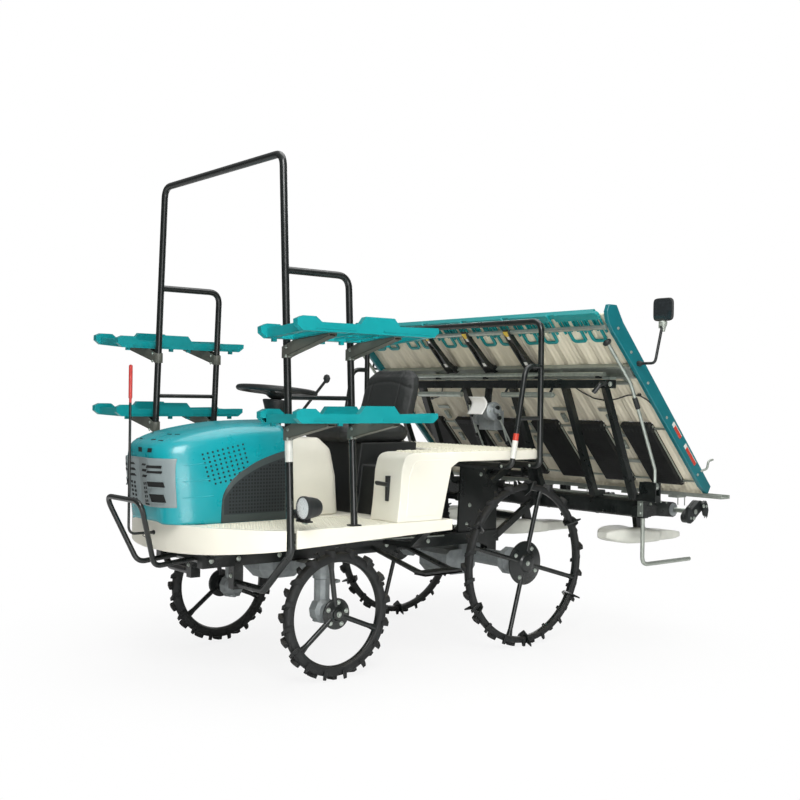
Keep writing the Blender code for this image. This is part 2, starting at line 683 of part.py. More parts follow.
def main_frame():
    low = RAIL_HEIGHT - RAIL_DEPTH
    deck_foot = DECK_TOP - DECK_WALL - SEAT_GAP
    pieces = []
    for side in (1, -1):
        y = side * RAIL_SPREAD
        pieces.append(box((FRAME_REAR, y - RAIL_WIDTH / 2, low),
                          (FRAME_FRONT, y + RAIL_WIDTH / 2, RAIL_HEIGHT)))
        # bracket that takes the foot of the hoop
        pieces.append(box((HOOP_X - POST_RADIUS * 1.5, y - RAIL_WIDTH / 2, HOOP_FOOT - POST_RADIUS * 1.5),
                          (HOOP_X + POST_RADIUS * 1.5, y + RAIL_WIDTH / 2, low + PLATE_THICK)))
        # side bearers under the step deck
        for x in (FRAME_FRONT - RAIL_WIDTH, DECK_REAR + RAIL_WIDTH):
            reach = DECK_NOSE_HALF if x > DECK_SHOULDER else DECK_HALF - DECK_WALL * 3
            pieces.append(bar([(x, y, RAIL_HEIGHT - RAIL_WIDTH / 4), (x, side * reach * 0.7, RAIL_HEIGHT),
                               (x, side * reach * 0.93, deck_foot - RAIL_WIDTH / 4)],
                              RAIL_WIDTH, RAIL_WIDTH / 2, (1, 0, 0)))
            pieces.append(box((x - RAIL_WIDTH / 2, y - RAIL_WIDTH / 2, low),
                              (x + RAIL_WIDTH / 2, y + RAIL_WIDTH / 2,
                                                                            deck_foot)))
        # hanging step below the deck's rear end
        rear, front = STIRRUP_X - STIRRUP_LENGTH / 2, STIRRUP_X + STIRRUP_LENGTH / 2
        out = side * (DECK_HALF - POST_RADIUS * 3)
        pieces.append(tube([(rear + CROSS_RADIUS, y, low + RAIL_DEPTH / 2),
                            (rear + CROSS_RADIUS, out, STIRRUP_HEIGHT),
                            (front - CROSS_RADIUS, out, STIRRUP_HEIGHT),
                            (front - CROSS_RADIUS, y, low + RAIL_DEPTH / 2)],
                           ROD_RADIUS, CROSS_RADIUS * 2))
        pieces.append(box((rear, out - CROSS_RADIUS * 2, STIRRUP_HEIGHT), (front, out + CROSS_RADIUS * 2,
                                                                         STIRRUP_HEIGHT + PLATE_THICK * 1.4)))
        # rear uprights that carry the rear deck and the link pins
        top = REAR_DECK_TOP - DECK_WALL - SEAT_GAP
        reach = EYE_RADIUS * 1.3
        stem = REAR_DECK_REAR + DECK_WALL * 2
        upright = [(LINK_X - reach, LINK_HEIGHT - reach), (LINK_X + EYE_RADIUS / 2, LINK_HEIGHT - reach),
                   (LINK_X + EYE_RADIUS, LINK_HEIGHT + OVERRUN), (LINK_X + RAIL_DEPTH * 4, RAIL_HEIGHT),
                   (LINK_X + RAIL_DEPTH * 3.6, top), (stem, top), (stem, REAR_DECK_TOP - REAR_DECK_LIP * 1.2),
                   (LINK_X - reach, LINK_HEIGHT + LINK_RISE + EYE_RADIUS * 2)]
        pieces.append(prism(upright, "Y", y - UPRIGHT_THICK / 2, y + UPRIGHT_THICK / 2))
        # bearers under the rear deck, which also carry the rear guard rail
        pieces.append(box((ARCH_X, y - UPRIGHT_THICK, ARCH_FOOT - CROSS_RADIUS),
                          (ARCH_RAIL_FOOT_X, y + UPRIGHT_THICK, ARCH_FOOT + CROSS_RADIUS)))
        for x in (ARCH_X, ARCH_RAIL_FOOT_X):
            pieces.append(cylinder((x, 0, ARCH_FOOT), (x, side * (ARCH_HALF - ARCH_RADIUS * 5 - SEAT_GAP),
                                                       ARCH_FOOT),
                                   CROSS_RADIUS, TUBE_SIDES))
    for x in (FRAME_FRONT - RAIL_WIDTH, HOOP_X, DECK_REAR + RAIL_WIDTH):
        pieces.append(cylinder((x, -RAIL_SPREAD, low + RAIL_DEPTH / 2),
                               (x, RAIL_SPREAD, low + RAIL_DEPTH / 2),
                               CROSS_RADIUS, TUBE_SIDES))
    # lower link pin and upper link pin run right across between the uprights
    for z, spread in ((LINK_HEIGHT, LOWER_SPREAD), (LINK_HEIGHT + LINK_RISE, UPPER_SPREAD)):
        for side in (1, -1):
            inner = spread + EYE_WIDTH / 2 + SEAT_GAP
            pieces.append(cylinder((LINK_X, side * inner, z), (LINK_X, side * RAIL_SPREAD, z), CROSS_RADIUS,
                                   TUBE_SIDES))
    # front guard of bent tube
    foot_z = GUARD_FOOT
    pieces.append(tube([(FRAME_FRONT - CROSS_RADIUS * 2, GUARD_FOOT_HALF, low + RAIL_DEPTH / 2),
                        (GUARD_FOOT_X, GUARD_FOOT_HALF, foot_z), (GUARD_FRONT, GUARD_HALF, GUARD_TOP),
                        (GUARD_FRONT, -GUARD_HALF, GUARD_TOP), (GUARD_FOOT_X, -GUARD_FOOT_HALF, foot_z),
                        (FRAME_FRONT - CROSS_RADIUS * 2, -GUARD_FOOT_HALF, low + RAIL_DEPTH / 2)],
                       GUARD_RADIUS, GUARD_RADIUS * 4))
    node("main_frame", pieces, BLACK)


def cylinder_bracket():
    """Cross tube bolted in between the rails, with the two cheeks that hold the lift cylinder."""
    pieces = []
    reach = RAIL_SPREAD - RAIL_WIDTH / 2 - SEAT_GAP
    middle = RAIL_HEIGHT - RAIL_DEPTH / 2
    for side in (1, -1):
        inner = CYLINDER_EYE_HALF + SEAT_GAP
        cheek = [(CYLINDER_X - EYE_RADIUS, middle), (CYLINDER_X + EYE_RADIUS, middle),
                 (CYLINDER_X + EYE_RADIUS, CYLINDER_HEIGHT + EYE_RADIUS),
                 (CYLINDER_X - EYE_RADIUS, CYLINDER_HEIGHT + EYE_RADIUS)]
        pieces.append(prism(cheek, "Y", side * inner, side * (inner + PLATE_THICK)))
    pieces.append(cylinder((CYLINDER_X, -reach, middle), (CYLINDER_X, reach, middle), CROSS_RADIUS, TUBE_SIDES))
    node("cylinder_bracket", pieces, BLACK)


def engine():
    shares = ((0, 0.94), (0.1, 1.0), (0.8, 1.0), (1, 0.82))
    rings = []
    low, high = RAIL_HEIGHT + SEAT_GAP, BONNET_TOP * 0.86
    rear, front = WHEELBASE + FRONT_GEARBOX_LENGTH / 2 + ENGINE_GAP, FRAME_FRONT - ENGINE_INSET
    half_x, half_y = (front - rear) / 2, RAIL_SPREAD + RAIL_WIDTH / 4
    middle = (rear + front) / 2
    for share, size in shares:
        rings.append([point(middle + a * half_x * size, b * half_y * size, low + (high - low) * share)
                      for a, b in ((-1, -1), (1, -1), (1, 1), (-1, 1))])
    node("engine_block", [skin(rings)], GREY_METAL)


def curve(points, steps=BEND_STEPS):
    """Points of a quadratic arc from the first point to the last, drawn to the middle one."""
    a, b, c = (Vector(p) for p in points)
    return [tuple(a.lerp(b, k / steps).lerp(b.lerp(c, k / steps), k / steps)) for k in range(steps + 1)]


def bow_outline(inset):
    """Plan of the step deck: straight sides, drawn in to a rounded nose."""
    half, nose = DECK_HALF - inset, DECK_NOSE_HALF - inset
    front, shoulder, rear = DECK_FRONT - inset, DECK_SHOULDER, DECK_REAR + inset
    run = front - shoulder
    waist = (shoulder + run * 0.75, nose)
    side = [(rear, half)]
    side += curve([(shoulder, half), (shoulder + run * 0.33, half * 0.95), waist])
    side += curve([waist, (shoulder + run * 0.94, nose * 0.69), (front, nose * 0.25)])[1:]
    return side + [(x, -y) for x, y in reversed(side)]


def deck_foot_at(x):
    """Height of the step deck's lower edge, which rises from the nose to the rear."""
    if x > DECK_SHOULDER:
        share = (x - DECK_SHOULDER) / (DECK_FRONT - DECK_SHOULDER)
        return DECK_TOP - DECK_SIDE_DEPTH - (DECK_NOSE_DEPTH - DECK_SIDE_DEPTH) * share
    share = (x - DECK_REAR) / (DECK_SHOULDER - DECK_REAR)
    return DECK_TOP - DECK_REAR_DEPTH - (DECK_SIDE_DEPTH - DECK_REAR_DEPTH) * share


def step_deck():
    foot = DECK_TOP - DECK_NOSE_DEPTH
    body = prism(bow_outline(0), "Z", foot, DECK_TOP)
    pocket = prism(bow_outline(DECK_WALL), "Z", foot - OVERRUN, DECK_TOP - DECK_WALL)
    hatch = box((BONNET_REAR - RAIL_WIDTH, -RAIL_SPREAD - RAIL_WIDTH, foot - OVERRUN),
                (FRAME_FRONT + RAIL_WIDTH, RAIL_SPREAD + RAIL_WIDTH, DECK_TOP + OVERRUN))
    below = foot - OVERRUN
    outer = DECK_HALF + OVERRUN
    line = [(x, deck_foot_at(x)) for x in (DECK_FRONT, DECK_SHOULDER, DECK_REAR)]
    under = prism([(DECK_REAR - OVERRUN, below), (DECK_FRONT + OVERRUN, below)] + line
                  + [(DECK_REAR - OVERRUN, deck_foot_at(DECK_REAR))], "Y", -outer, outer)
    tools = [pocket, hatch, under]
    # the hoop's legs stand in notches open to the edge
    reach = POST_RADIUS + OVERRUN
    for side in (1, -1):
        near, far = sorted((side * (half_at(DECK_TOP) - reach), side * outer))
        tools.append(box((HOOP_X - reach, near, below), (HOOP_X + reach, far, DECK_TOP + OVERRUN)))
    cut(body, tools)
    node("step_deck", [body], CREAM)


def rear_deck():
    top, lip, wall = REAR_DECK_TOP, REAR_DECK_LIP, DECK_WALL
    foot = DECK_TOP + SEAT_GAP
    front, rear, half = REAR_DECK_FRONT, REAR_DECK_REAR, DECK_HALF
    rise = top - foot

    def side_line(inset):
        nose = front - inset
        return [(nose + lip * 0.3, foot), (nose, foot + rise * 0.3),
                (nose - lip * 0.25, foot + rise * 0.75)] + \
            curve([(nose - lip * 0.5, foot + rise * 0.88), (nose - lip * 0.7, top - inset),
                   (nose - lip * 2.2, top - inset)])

    outline = [(rear, top), (rear, top - lip), (ARCH_FRONT - lip, top - lip), (ARCH_FRONT, top - lip * 1.6),
               (ARCH_FRONT + lip * 1.3, foot)] + side_line(0)
    body = prism(outline, "Y", -half, half)
    inner = [(rear + wall, top - wall), (rear + wall, foot - lip),
             (front + lip * 0.3 - wall, foot - lip)] + side_line(wall)
    pocket = prism(inner, "Y", -half + wall, half - wall)
    notch = box((SEAT_BASE_REAR - wall, -REAR_DECK_NOTCH, foot - OVERRUN),
                (front + lip, REAR_DECK_NOTCH, top + OVERRUN))
    cut(body, [pocket, notch])
    node("rear_deck", [body], CREAM)


def half_at(z):
    """Half spread of the leaning hoop legs at a height."""
    return HOOP_TOP_HALF + HOOP_FLARE_SHARE * (HOOP_TOP - z)


def console():
    foot = DECK_TOP + SEAT_GAP
    rings = []
    for share, grow, lean in ((0, 1.0, 0.0), (0.5, 0.97, 0.03), (0.85, 0.90, 0.10), (1, 0.76, 0.26)):
        z = foot + (CONSOLE_TOP - foot) * share
        rear = CONSOLE_REAR + (BONNET_REAR - CONSOLE_REAR) * lean
        front = BONNET_REAR - BONNET_WALL
        half = CONSOLE_HALF * grow
        soft = half * 0.35
        rings.append([point(x, y, z) for x, y in (
            (front, -half), (front, half), (rear + soft, half), (rear + soft * 0.3, half - soft * 0.3),
            (rear, half - soft), (rear, -half + soft), (rear + soft * 0.3, -half + soft * 0.3),
                                                  (rear + soft, -half))])
    node("steering_console", [skin(rings)], CREAM)


def column_axis():
    return point(math.sin(-STEERING_TILT), 0, math.cos(STEERING_TILT))


def steering():
    up = column_axis()
    hub = point(STEERING_X, 0, STEERING_HEIGHT)
    base = CONSOLE_TOP + SEAT_GAP
    low = COLUMN_RADIUS * math.sin(STEERING_TILT)
    root = hub - up * ((STEERING_HEIGHT - base - low) / up.z)
    column = cylinder(root, hub - up * (STEERING_RIM * 3 + SEAT_GAP), COLUMN_RADIUS)
    panel = skin([[point(x, y, z) for x, y in ((BONNET_REAR - BONNET_WALL, -half),
                                               (BONNET_REAR - BONNET_WALL, half),
                                               (rear, half), (rear, -half))]
                  for z, half, rear in ((base, CONSOLE_HALF * 0.62, STEERING_X - COLUMN_RADIUS * 1.2),
                                        (base + COLUMN_RADIUS * 1.8, CONSOLE_HALF * 0.5, STEERING_X))])
    knob = point(STEERING_X - CONSOLE_HALF * 0.35, CONSOLE_HALF * 1.62, STEERING_HEIGHT + COLUMN_RADIUS * 1.8)
    lever = tube([(STEERING_X, COLUMN_RADIUS * 0.5, base + COLUMN_RADIUS * 2.6),
                  (STEERING_X, CONSOLE_HALF * 0.9, base + COLUMN_RADIUS * 3.2), knob], ROD_RADIUS * 0.6,
                 COLUMN_RADIUS)
    grip = turned([(0, -ROD_RADIUS * 1.6), (ROD_RADIUS, -ROD_RADIUS), (ROD_RADIUS * 1.5, ROD_RADIUS * 0.4),
                   (ROD_RADIUS, ROD_RADIUS * 1.6), (0, ROD_RADIUS * 2)], knob, (0, 0, 1), TUBE_SIDES)
    node("steering_column", [column, panel, lever, grip], BLACK_PLASTIC)
    turns = [math.tau * k / TUBE_SIDES for k in range(TUBE_SIDES)]
    rim = hoop_ring([(STEERING_RADIUS - STEERING_RIM + STEERING_RIM * math.cos(turn),
                      STEERING_RIM * math.sin(turn))
                     for turn in turns], hub, up)
    dish = turned([(COLUMN_RADIUS * 0.9, -STEERING_RIM * 3), (COLUMN_RADIUS * 1.8, -STEERING_RIM * 1.6),
                   (COLUMN_RADIUS * 2.0, -STEERING_RIM * 0.6), (COLUMN_RADIUS * 1.2, 0)], hub, up)
    pieces = [rim, dish]
    side = up.orthogonal().normalized()
    across = up.cross(side)
    for k in range(3):
        angle = math.tau * k / 3
        out = side * math.cos(angle) + across * math.sin(angle)
        pieces.append(bar([hub - up * STEERING_RIM * 1.2 + out * COLUMN_RADIUS, hub - up * STEERING_RIM * 0.9
                           + out * STEERING_RADIUS * 0.55, hub + out * (STEERING_RADIUS - STEERING_RIM)],
                          COLUMN_RADIUS, STEERING_RIM * 0.9, up.cross(out)))
    node("steering_wheel", pieces, BLACK_PLASTIC, hub)


def bonnet_ring(x, top, half, foot, lean, wall=0.0):
    """Cross section of the bonnet at one place along it: round shoulders, open foot."""
    shares = ((1.0, 0.0), (1.0, 0.55), (0.97, 0.74), (0.86, 0.90), (0.62, 0.975), (0.0, 1.0))
    side = [(x - lean * max(0.0, 0.8 - b), max(half * a - wall, 0), foot + (top - wall - foot) * b) for a,
            b in shares]
    return [point(a, b, c) for a, b, c in side] + [point(a, -b, c) for a, b, c in reversed(side[:-1])]


BONNET_STATION_SHARES = (
    # place along, height, half width, foot: as shares of the bonnet's own sizes
    (0.00, 1.000, 1.00, 0.00),
    (0.35, 0.985, 1.00, 0.00),
    (0.62, 0.935, 0.97, 0.00),
    (0.80, 0.880, 0.91, 0.00),
    (0.92, 0.825, 0.78, 0.00),
    (0.98, 0.780, 0.60, 0.00),
    (1.00, 0.740, 0.44, 0.02),
)


SIDE_PANEL_SHARES = (
    # place along the bonnet, top of the panel as a share of the bonnet's height
    (0.015, 0.540),
    (0.200, 0.530),
    (0.350, 0.480),
    (0.560, 0.330),
)


def side_panel(side):
    """Raised louvre panel on the bonnet's flank, with its slots pressed in."""
    length, height = BONNET_FRONT - BONNET_REAR, BONNET_TOP - DECK_TOP
    low = DECK_TOP + SEAT_GAP
    rings = []
    for along, tall in SIDE_PANEL_SHARES:
        x = BONNET_REAR + length * along
        flank = BONNET_HALF * (1 - 0.03 * max(0, (along - 0.35) / 0.27))
        inner, outer = side * (flank - BONNET_WALL / 2), side * (flank + PANEL_PROUD)
        top = low + height * tall
        rings.append([(x, inner, low), (x, outer, low), (x, outer, top), (x, inner, top)])
    panel = skin(rings)
    slots = []
    for k in range(PANEL_SLOTS):
        x = BONNET_REAR + length * (0.05 + k * 0.06)
        tall = 0.47 if k < PANEL_SLOTS / 2 else 0.40
        near, far = sorted((side * (BONNET_HALF + PANEL_PROUD / 2), side * (BONNET_HALF + PANEL_PROUD * 2)))
        slots.append(box((x, near, low + height * 0.06), (x + PANEL_SLOT_WIDTH, far, low + height * tall)))
    cut(panel, slots)
    return panel


def bonnet():
    length = BONNET_FRONT - BONNET_REAR
    seat_height = DECK_TOP + SEAT_GAP
    height = BONNET_TOP - seat_height

    def station(row, inset):
        along, tall, wide, lift = row
        x = BONNET_REAR + length * along
        if inset:
            x = min(x, BONNET_FRONT - inset) if along > 0.5 else x - (OVERRUN if along == 0 else 0)
        top = seat_height + height * tall
        foot = seat_height + height * lift - (OVERRUN * 3 if inset else 0)
        return bonnet_ring(x, top, BONNET_HALF * wide, foot, BONNET_LEAN * along ** 4, inset)

    shell = skin([station(row, 0) for row in BONNET_STATION_SHARES])
    hollow = skin([station(row, BONNET_WALL) for row in BONNET_STATION_SHARES[:-1]])
    cut(shell, [hollow])
    panels = [side_panel(side) for side in (1, -1)]
    node("bonnet", [shell] + panels, TEAL, (BONNET_REAR, 0, DECK_TOP))


def seat():
    low = DECK_TOP + SEAT_GAP
    base = prism([(SEAT_BASE_REAR, low), (SEAT_BASE_FRONT, low),
                  (SEAT_BASE_FRONT - SEAT_THICK * 0.5, SEAT_BASE_TOP),
                  (SEAT_BASE_REAR, SEAT_BASE_TOP)], "Y", -SEAT_BASE_HALF, SEAT_BASE_HALF)
    skirt = prism([(SEAT_BASE_REAR + SEAT_THICK, low), (SEAT_BASE_FRONT - SEAT_THICK * 0.3, low),
                   (SEAT_BASE_FRONT - SEAT_THICK * 0.6, SEAT_SKIRT_TOP),
                   (SEAT_BASE_REAR + SEAT_THICK, SEAT_SKIRT_TOP)],
                  "Y", -SEAT_SKIRT_HALF, SEAT_SKIRT_HALF)
    node("seat_base", [base, skirt], BLACK_PLASTIC)
    foot = SEAT_BASE_TOP + SEAT_GAP
    rings = []
    for share, size in ((0, 0.90), (0.25, 1.0), (0.75, 1.0), (1, 0.90)):
        rings.append(soft_ring((SEAT_FRONT + SEAT_REAR) / 2, foot + SEAT_THICK * share,
                               (SEAT_FRONT - SEAT_REAR) / 2 * size, SEAT_HALF * size))
    node("seat_cushion", [skin(rings)], SEAT_BLACK)
    start = foot + SEAT_THICK + SEAT_GAP
    rings = []
    for share, size in ((0, 0.92), (0.08, 1.0), (0.55, 0.99), (0.85, 0.90), (0.96, 0.74), (1, 0.58)):
        z = start + (SEAT_BACK_TOP - start) * share
        x = SEAT_REAR + SEAT_BACK_THICK / 2 - SEAT_BACK_LEAN * share
        thick = SEAT_BACK_THICK / 2 * (1 if share < 0.9 else 0.7)
        rings.append(soft_ring(x, z, thick, SEAT_HALF * size))
    node("seat_back", [skin(rings)], SEAT_BLACK)


def soft_ring(x, z, half_x, half_y, corner_share=0.3):
    ring = []
    radius_x, radius_y = half_x * corner_share * 1.3, half_y * corner_share
    for sx, sy, start in ((1, 1, 0), (-1, 1, 1), (-1, -1, 2), (1, -1, 3)):
        for step in range(3):
            angle = math.tau / 4 * (start + step / 2)
            ring.append(point(x + sx * (half_x - radius_x) + radius_x * math.cos(angle),
                              sy * (half_y - radius_y) + radius_y * math.sin(angle), z))
    return ring


def rack():
    pieces = []
    corner = half_at(HOOP_KNEE)
    legs = [(HOOP_X, RAIL_SPREAD + RAIL_WIDTH / 2 + SEAT_GAP, HOOP_FOOT),
            (HOOP_X, KINGPIN_Y + KINGPIN_RADIUS, HOOP_FOOT),
            (HOOP_X, corner, HOOP_KNEE), (HOOP_X, HOOP_TOP_HALF, HOOP_TOP)]
    path = legs + [(x, -y, z) for x, y, z in reversed(legs)]
    pieces.append(tube(path, POST_RADIUS, HOOP_BEND, POST_SIDES))
    for side in (1, -1):
        foot = DECK_TOP + SEAT_GAP + POST_RADIUS * HOOP_FLARE_SHARE
        start = side * half_at(LADDER_TOP)
        pieces.append(tube([(HOOP_X, start, LADDER_TOP), (LADDER_X, start, LADDER_TOP),
                            (LADDER_X, side * half_at(foot), foot)], POST_RADIUS * 0.95, HOOP_BEND))
        y = side * half_at(RUNG_HEIGHT)
        pieces.append(cylinder((HOOP_X, y, RUNG_HEIGHT), (LADDER_X, y, RUNG_HEIGHT), POST_RADIUS * 0.6,
                               TUBE_SIDES))
        for tray_foot, tilt in ((UPPER_TRAY_FOOT, UPPER_TRAY_TILT), (LOWER_TRAY_FOOT, LOWER_TRAY_TILT)):
            root = half_at(tray_foot) - POST_RADIUS * 0.5
            start, tip = TRAY_INNER + TRAY_RAIL * 0.2, TRAY_INNER + TRAY_WIDTH * 0.9
            slope = math.tan(tilt)
            drop = SEAT_GAP / math.cos(tilt)
            first = tray_foot + (start - TRAY_INNER) * slope - drop
            last = tray_foot + (tip - TRAY_INNER) * slope - drop
            outline = [(root, first - BRACKET_DROP), (root + BRACKET_ROOT, first - BRACKET_DROP * 0.8),
                       (tip, last - PLATE_THICK), (tip, last), (start, first),
                       (root, first - BRACKET_DROP * 0.35)]
            for x in (HOOP_X, LADDER_X):
                pieces.append(prism([(side * y, z) for y, z in outline], "X", x - BRACKET_WIDTH / 2,
                                    x + BRACKET_WIDTH / 2))
    node("rack_frame", pieces, BLACK)


def tray(name, side, foot, tilt):
    """Open carrier for one seedling box: two deep side rails, cross ribs and a raised grip."""
    inner, outer = TRAY_INNER, TRAY_INNER + TRAY_WIDTH
    pieces = []
    middle = (TRAY_FRONT + TRAY_REAR) / 2 - side * TRAY_HUMP_OFFSET
    top = foot + TRAY_DEPTH
    nose = TRAY_DEPTH * 0.6
    hump = TRAY_HUMP_LENGTH / 2
    block = TRAY_END_LENGTH
    raised = top + TRAY_HUMP_HEIGHT * 0.5
    side_outline = [(TRAY_REAR, foot + TRAY_DEPTH * 0.45), (TRAY_REAR + nose, foot),
                    (TRAY_FRONT - nose, foot),
                    (TRAY_FRONT, foot + TRAY_DEPTH * 0.45), (TRAY_FRONT, top), (TRAY_FRONT - nose, raised),
                    (TRAY_FRONT - block, raised), (TRAY_FRONT - block - nose, top - TRAY_DEPTH * 0.2),
                    (middle + hump + nose, top - TRAY_DEPTH * 0.2), (middle + hump, top + TRAY_HUMP_HEIGHT),
                    (middle - hump, top + TRAY_HUMP_HEIGHT), (middle - hump - nose, top - TRAY_DEPTH * 0.2),
                    (TRAY_REAR + nose, top - TRAY_DEPTH * 0.1), (TRAY_REAR, top - TRAY_DEPTH * 0.1)]
    for y in (inner, outer - TRAY_RAIL):
        pieces.append(prism(side_outline, "Y", side * y, side * (y + TRAY_RAIL)))
    near, far = sorted((side * (inner + TRAY_RAIL / 2), side * (outer - TRAY_RAIL / 2)))
    for k in range(TRAY_RIBS):
        width = TRAY_RIB * (1.2 if k in (0, TRAY_RIBS - 1) else 0.5)
        x = TRAY_REAR + nose + width + (TRAY_FRONT - TRAY_REAR - (nose + width) * 2) * k / (TRAY_RIBS - 1)
        high = foot + TRAY_DEPTH * (0.8 if k in (0, TRAY_RIBS - 1) else 0.5)
        pieces.append(box((x - width, near, foot + TINY * 20), (x + width, far, high)))
    hinge = Vector((0, side * inner, foot))
    lean = Matrix.Translation(hinge) @ Matrix.Rotation(side * tilt, 4, "X") @ Matrix.Translation(-hinge)
    for piece in pieces:
        moved(piece, lean)
    node(name, pieces, TEAL_PLASTIC)


def trays():
    for side_name, side in (("left", 1), ("right", -1)):
        for level, foot, tilt in (("upper", UPPER_TRAY_FOOT, UPPER_TRAY_TILT),
                                  ("lower", LOWER_TRAY_FOOT, LOWER_TRAY_TILT)):
            tray("seedling_tray_" + side_name + "_" + level, side, foot, tilt)


def rear_rail():
    pieces = []
    legs = [(ARCH_X, ARCH_HALF - ARCH_RADIUS * 5, ARCH_FOOT), (ARCH_X, ARCH_HALF, ARCH_FOOT),
            (ARCH_X, ARCH_HALF, ARCH_TOP)]
    pieces.append(tube(legs + [(x, -y, z) for x, y, z in reversed(legs)], ARCH_RADIUS, ARCH_BEND))
    for side in (1, -1):
        y = side * ARCH_HALF
        pieces.append(tube([(ARCH_X, y, ARCH_RAIL_TOP), (ARCH_RAIL_X, y, ARCH_RAIL_TOP),
                            (ARCH_RAIL_FOOT_X, y, ARCH_FOOT),
                            (ARCH_RAIL_FOOT_X, y - side * ARCH_RADIUS * 5, ARCH_FOOT)], ARCH_RADIUS * 0.9,
                           ARCH_BEND))
        share = (ARCH_RAIL_TOP - ARCH_RUNG) / (ARCH_RAIL_TOP - ARCH_FOOT)
        x = ARCH_RAIL_X + (ARCH_RAIL_FOOT_X - ARCH_RAIL_X) * share
        pieces.append(cylinder((ARCH_X, y, ARCH_RUNG), (x, y, ARCH_RUNG), ARCH_RADIUS * 0.7, TUBE_SIDES))
    node("rear_rail", pieces, BLACK)


def small_pieces():
    foot = DECK_TOP - DECK_NOSE_DEPTH * 0.4
    rod = tube([(DECK_FRONT + SEAT_GAP, 0, foot), (MARKER_ROD_X, 0, foot),
                (MARKER_ROD_X, 0, MARKER_ROD_TOP)], MARKER_ROD_RADIUS, MARKER_ROD_RADIUS * 6)
    cap = cylinder((MARKER_ROD_X, 0, MARKER_ROD_TOP - MARKER_ROD_RADIUS * 24),
                   (MARKER_ROD_X, 0, MARKER_ROD_TOP + MARKER_ROD_RADIUS), MARKER_ROD_RADIUS * 1.4, TUBE_SIDES)
    node("centre_marker", [rod, cap], RED)
    lamp = turned([(LAMP_RADIUS * 0.35, -LAMP_LENGTH), (LAMP_RADIUS * 0.75, -LAMP_LENGTH * 0.75),
                   (LAMP_RADIUS * 0.92, -LAMP_LENGTH * 0.3), (LAMP_RADIUS, -LAMP_LENGTH * 0.15),
                   (LAMP_RADIUS, 0),
                   (LAMP_RADIUS * 0.7, LAMP_RADIUS * 0.12)], (LAMP_X, LAMP_Y, LAMP_HEIGHT), (1, 0, 0))
    low, high = LAMP_HEIGHT - LAMP_RADIUS * 1.25, LAMP_HEIGHT
    grip = POST_RADIUS * 0.97 + SEAT_GAP
    plate = [(half_at(low) + grip, low), (half_at(low) + grip + PLATE_THICK, low),
             (half_at(high) + grip + PLATE_THICK, high), (half_at(high) + grip, high)]
    arm = prism(plate, "X", LAMP_X - LAMP_LENGTH / 2, LAMP_X + POST_RADIUS * 2)
    shelf = box((LAMP_X - LAMP_LENGTH / 2, half_at(low) + grip + PLATE_THICK / 2, low),
                (LAMP_X - LAMP_LENGTH * 0.1, LAMP_Y + LAMP_RADIUS * 0.3, low + LAMP_RADIUS * 0.45))
    node("headlamp", [lamp, arm, shelf], BLACK_PLASTIC)


# Lift linkage
def links():
    rear_x, rear_z = LINK_REAR_X, LINK_REAR_HEIGHT
    pieces = []
    for side in (1, -1):
        y = side * LOWER_SPREAD
        for x, z in ((LINK_X, LINK_HEIGHT), (rear_x, rear_z)):
            pieces.append(cylinder((x, y - EYE_WIDTH / 2, z), (x, y + EYE_WIDTH / 2, z), EYE_RADIUS))
        pieces.append(bar([(LINK_X, y, LINK_HEIGHT), (rear_x, y, rear_z)], EYE_WIDTH, LINK_BAR * 2.6,
                          (0, 1, 0)))
    middle = point(LINK_X, 0, LINK_HEIGHT).lerp(point(rear_x, 0, rear_z), 0.62)
    for x, z in ((LINK_X, LINK_HEIGHT), (middle.x, middle.z)):
        pieces.append(cylinder((x, -LOWER_SPREAD, z), (x, LOWER_SPREAD, z), CROSS_RADIUS, TUBE_SIDES))
    tip = lever_tip()
    for side in (1, -1):
        y = side * (EYE_WIDTH / 2 + SEAT_GAP + PLATE_THICK / 2)
        pieces.append(bar([(LINK_X, y, LINK_HEIGHT), tip + point(0, y, 0)], PLATE_THICK, EYE_RADIUS * 1.2,
                          (0, 1, 0)))
        pieces.append(cylinder((tip.x, y - PLATE_THICK / 2, tip.z), (tip.x, y + PLATE_THICK / 2, tip.z),
                               EYE_RADIUS * 0.8))
    node("lower_link", pieces, BLACK, (LINK_X, 0, LINK_HEIGHT))
    pieces = []
    z0, z1 = LINK_HEIGHT + LINK_RISE, rear_z + LINK_RISE
    for side in (1, -1):
        y = side * UPPER_SPREAD
        for x, z in ((LINK_X, z0), (rear_x, z1)):
            pieces.append(cylinder((x, y - EYE_WIDTH / 2, z), (x, y + EYE_WIDTH / 2, z), EYE_RADIUS * 0.9))
        pieces.append(bar([(LINK_X, y, z0), (rear_x, y, z1)], EYE_WIDTH, LINK_BAR * 2.2, (0, 1, 0)))
    for share in (0.25, 0.7):
        x, z = LINK_X + (rear_x - LINK_X) * share, z0 + (z1 - z0) * share
        pieces.append(cylinder((x, -UPPER_SPREAD, z), (x, UPPER_SPREAD, z), CROSS_RADIUS * 0.7, TUBE_SIDES))
    node("upper_link", pieces, BLACK, (LINK_X, 0, z0))


def lever_tip():
    return point(LINK_X + LEVER_LENGTH * math.sin(LEVER_ANGLE), 0,
                 LINK_HEIGHT + LEVER_LENGTH * math.cos(LEVER_ANGLE))


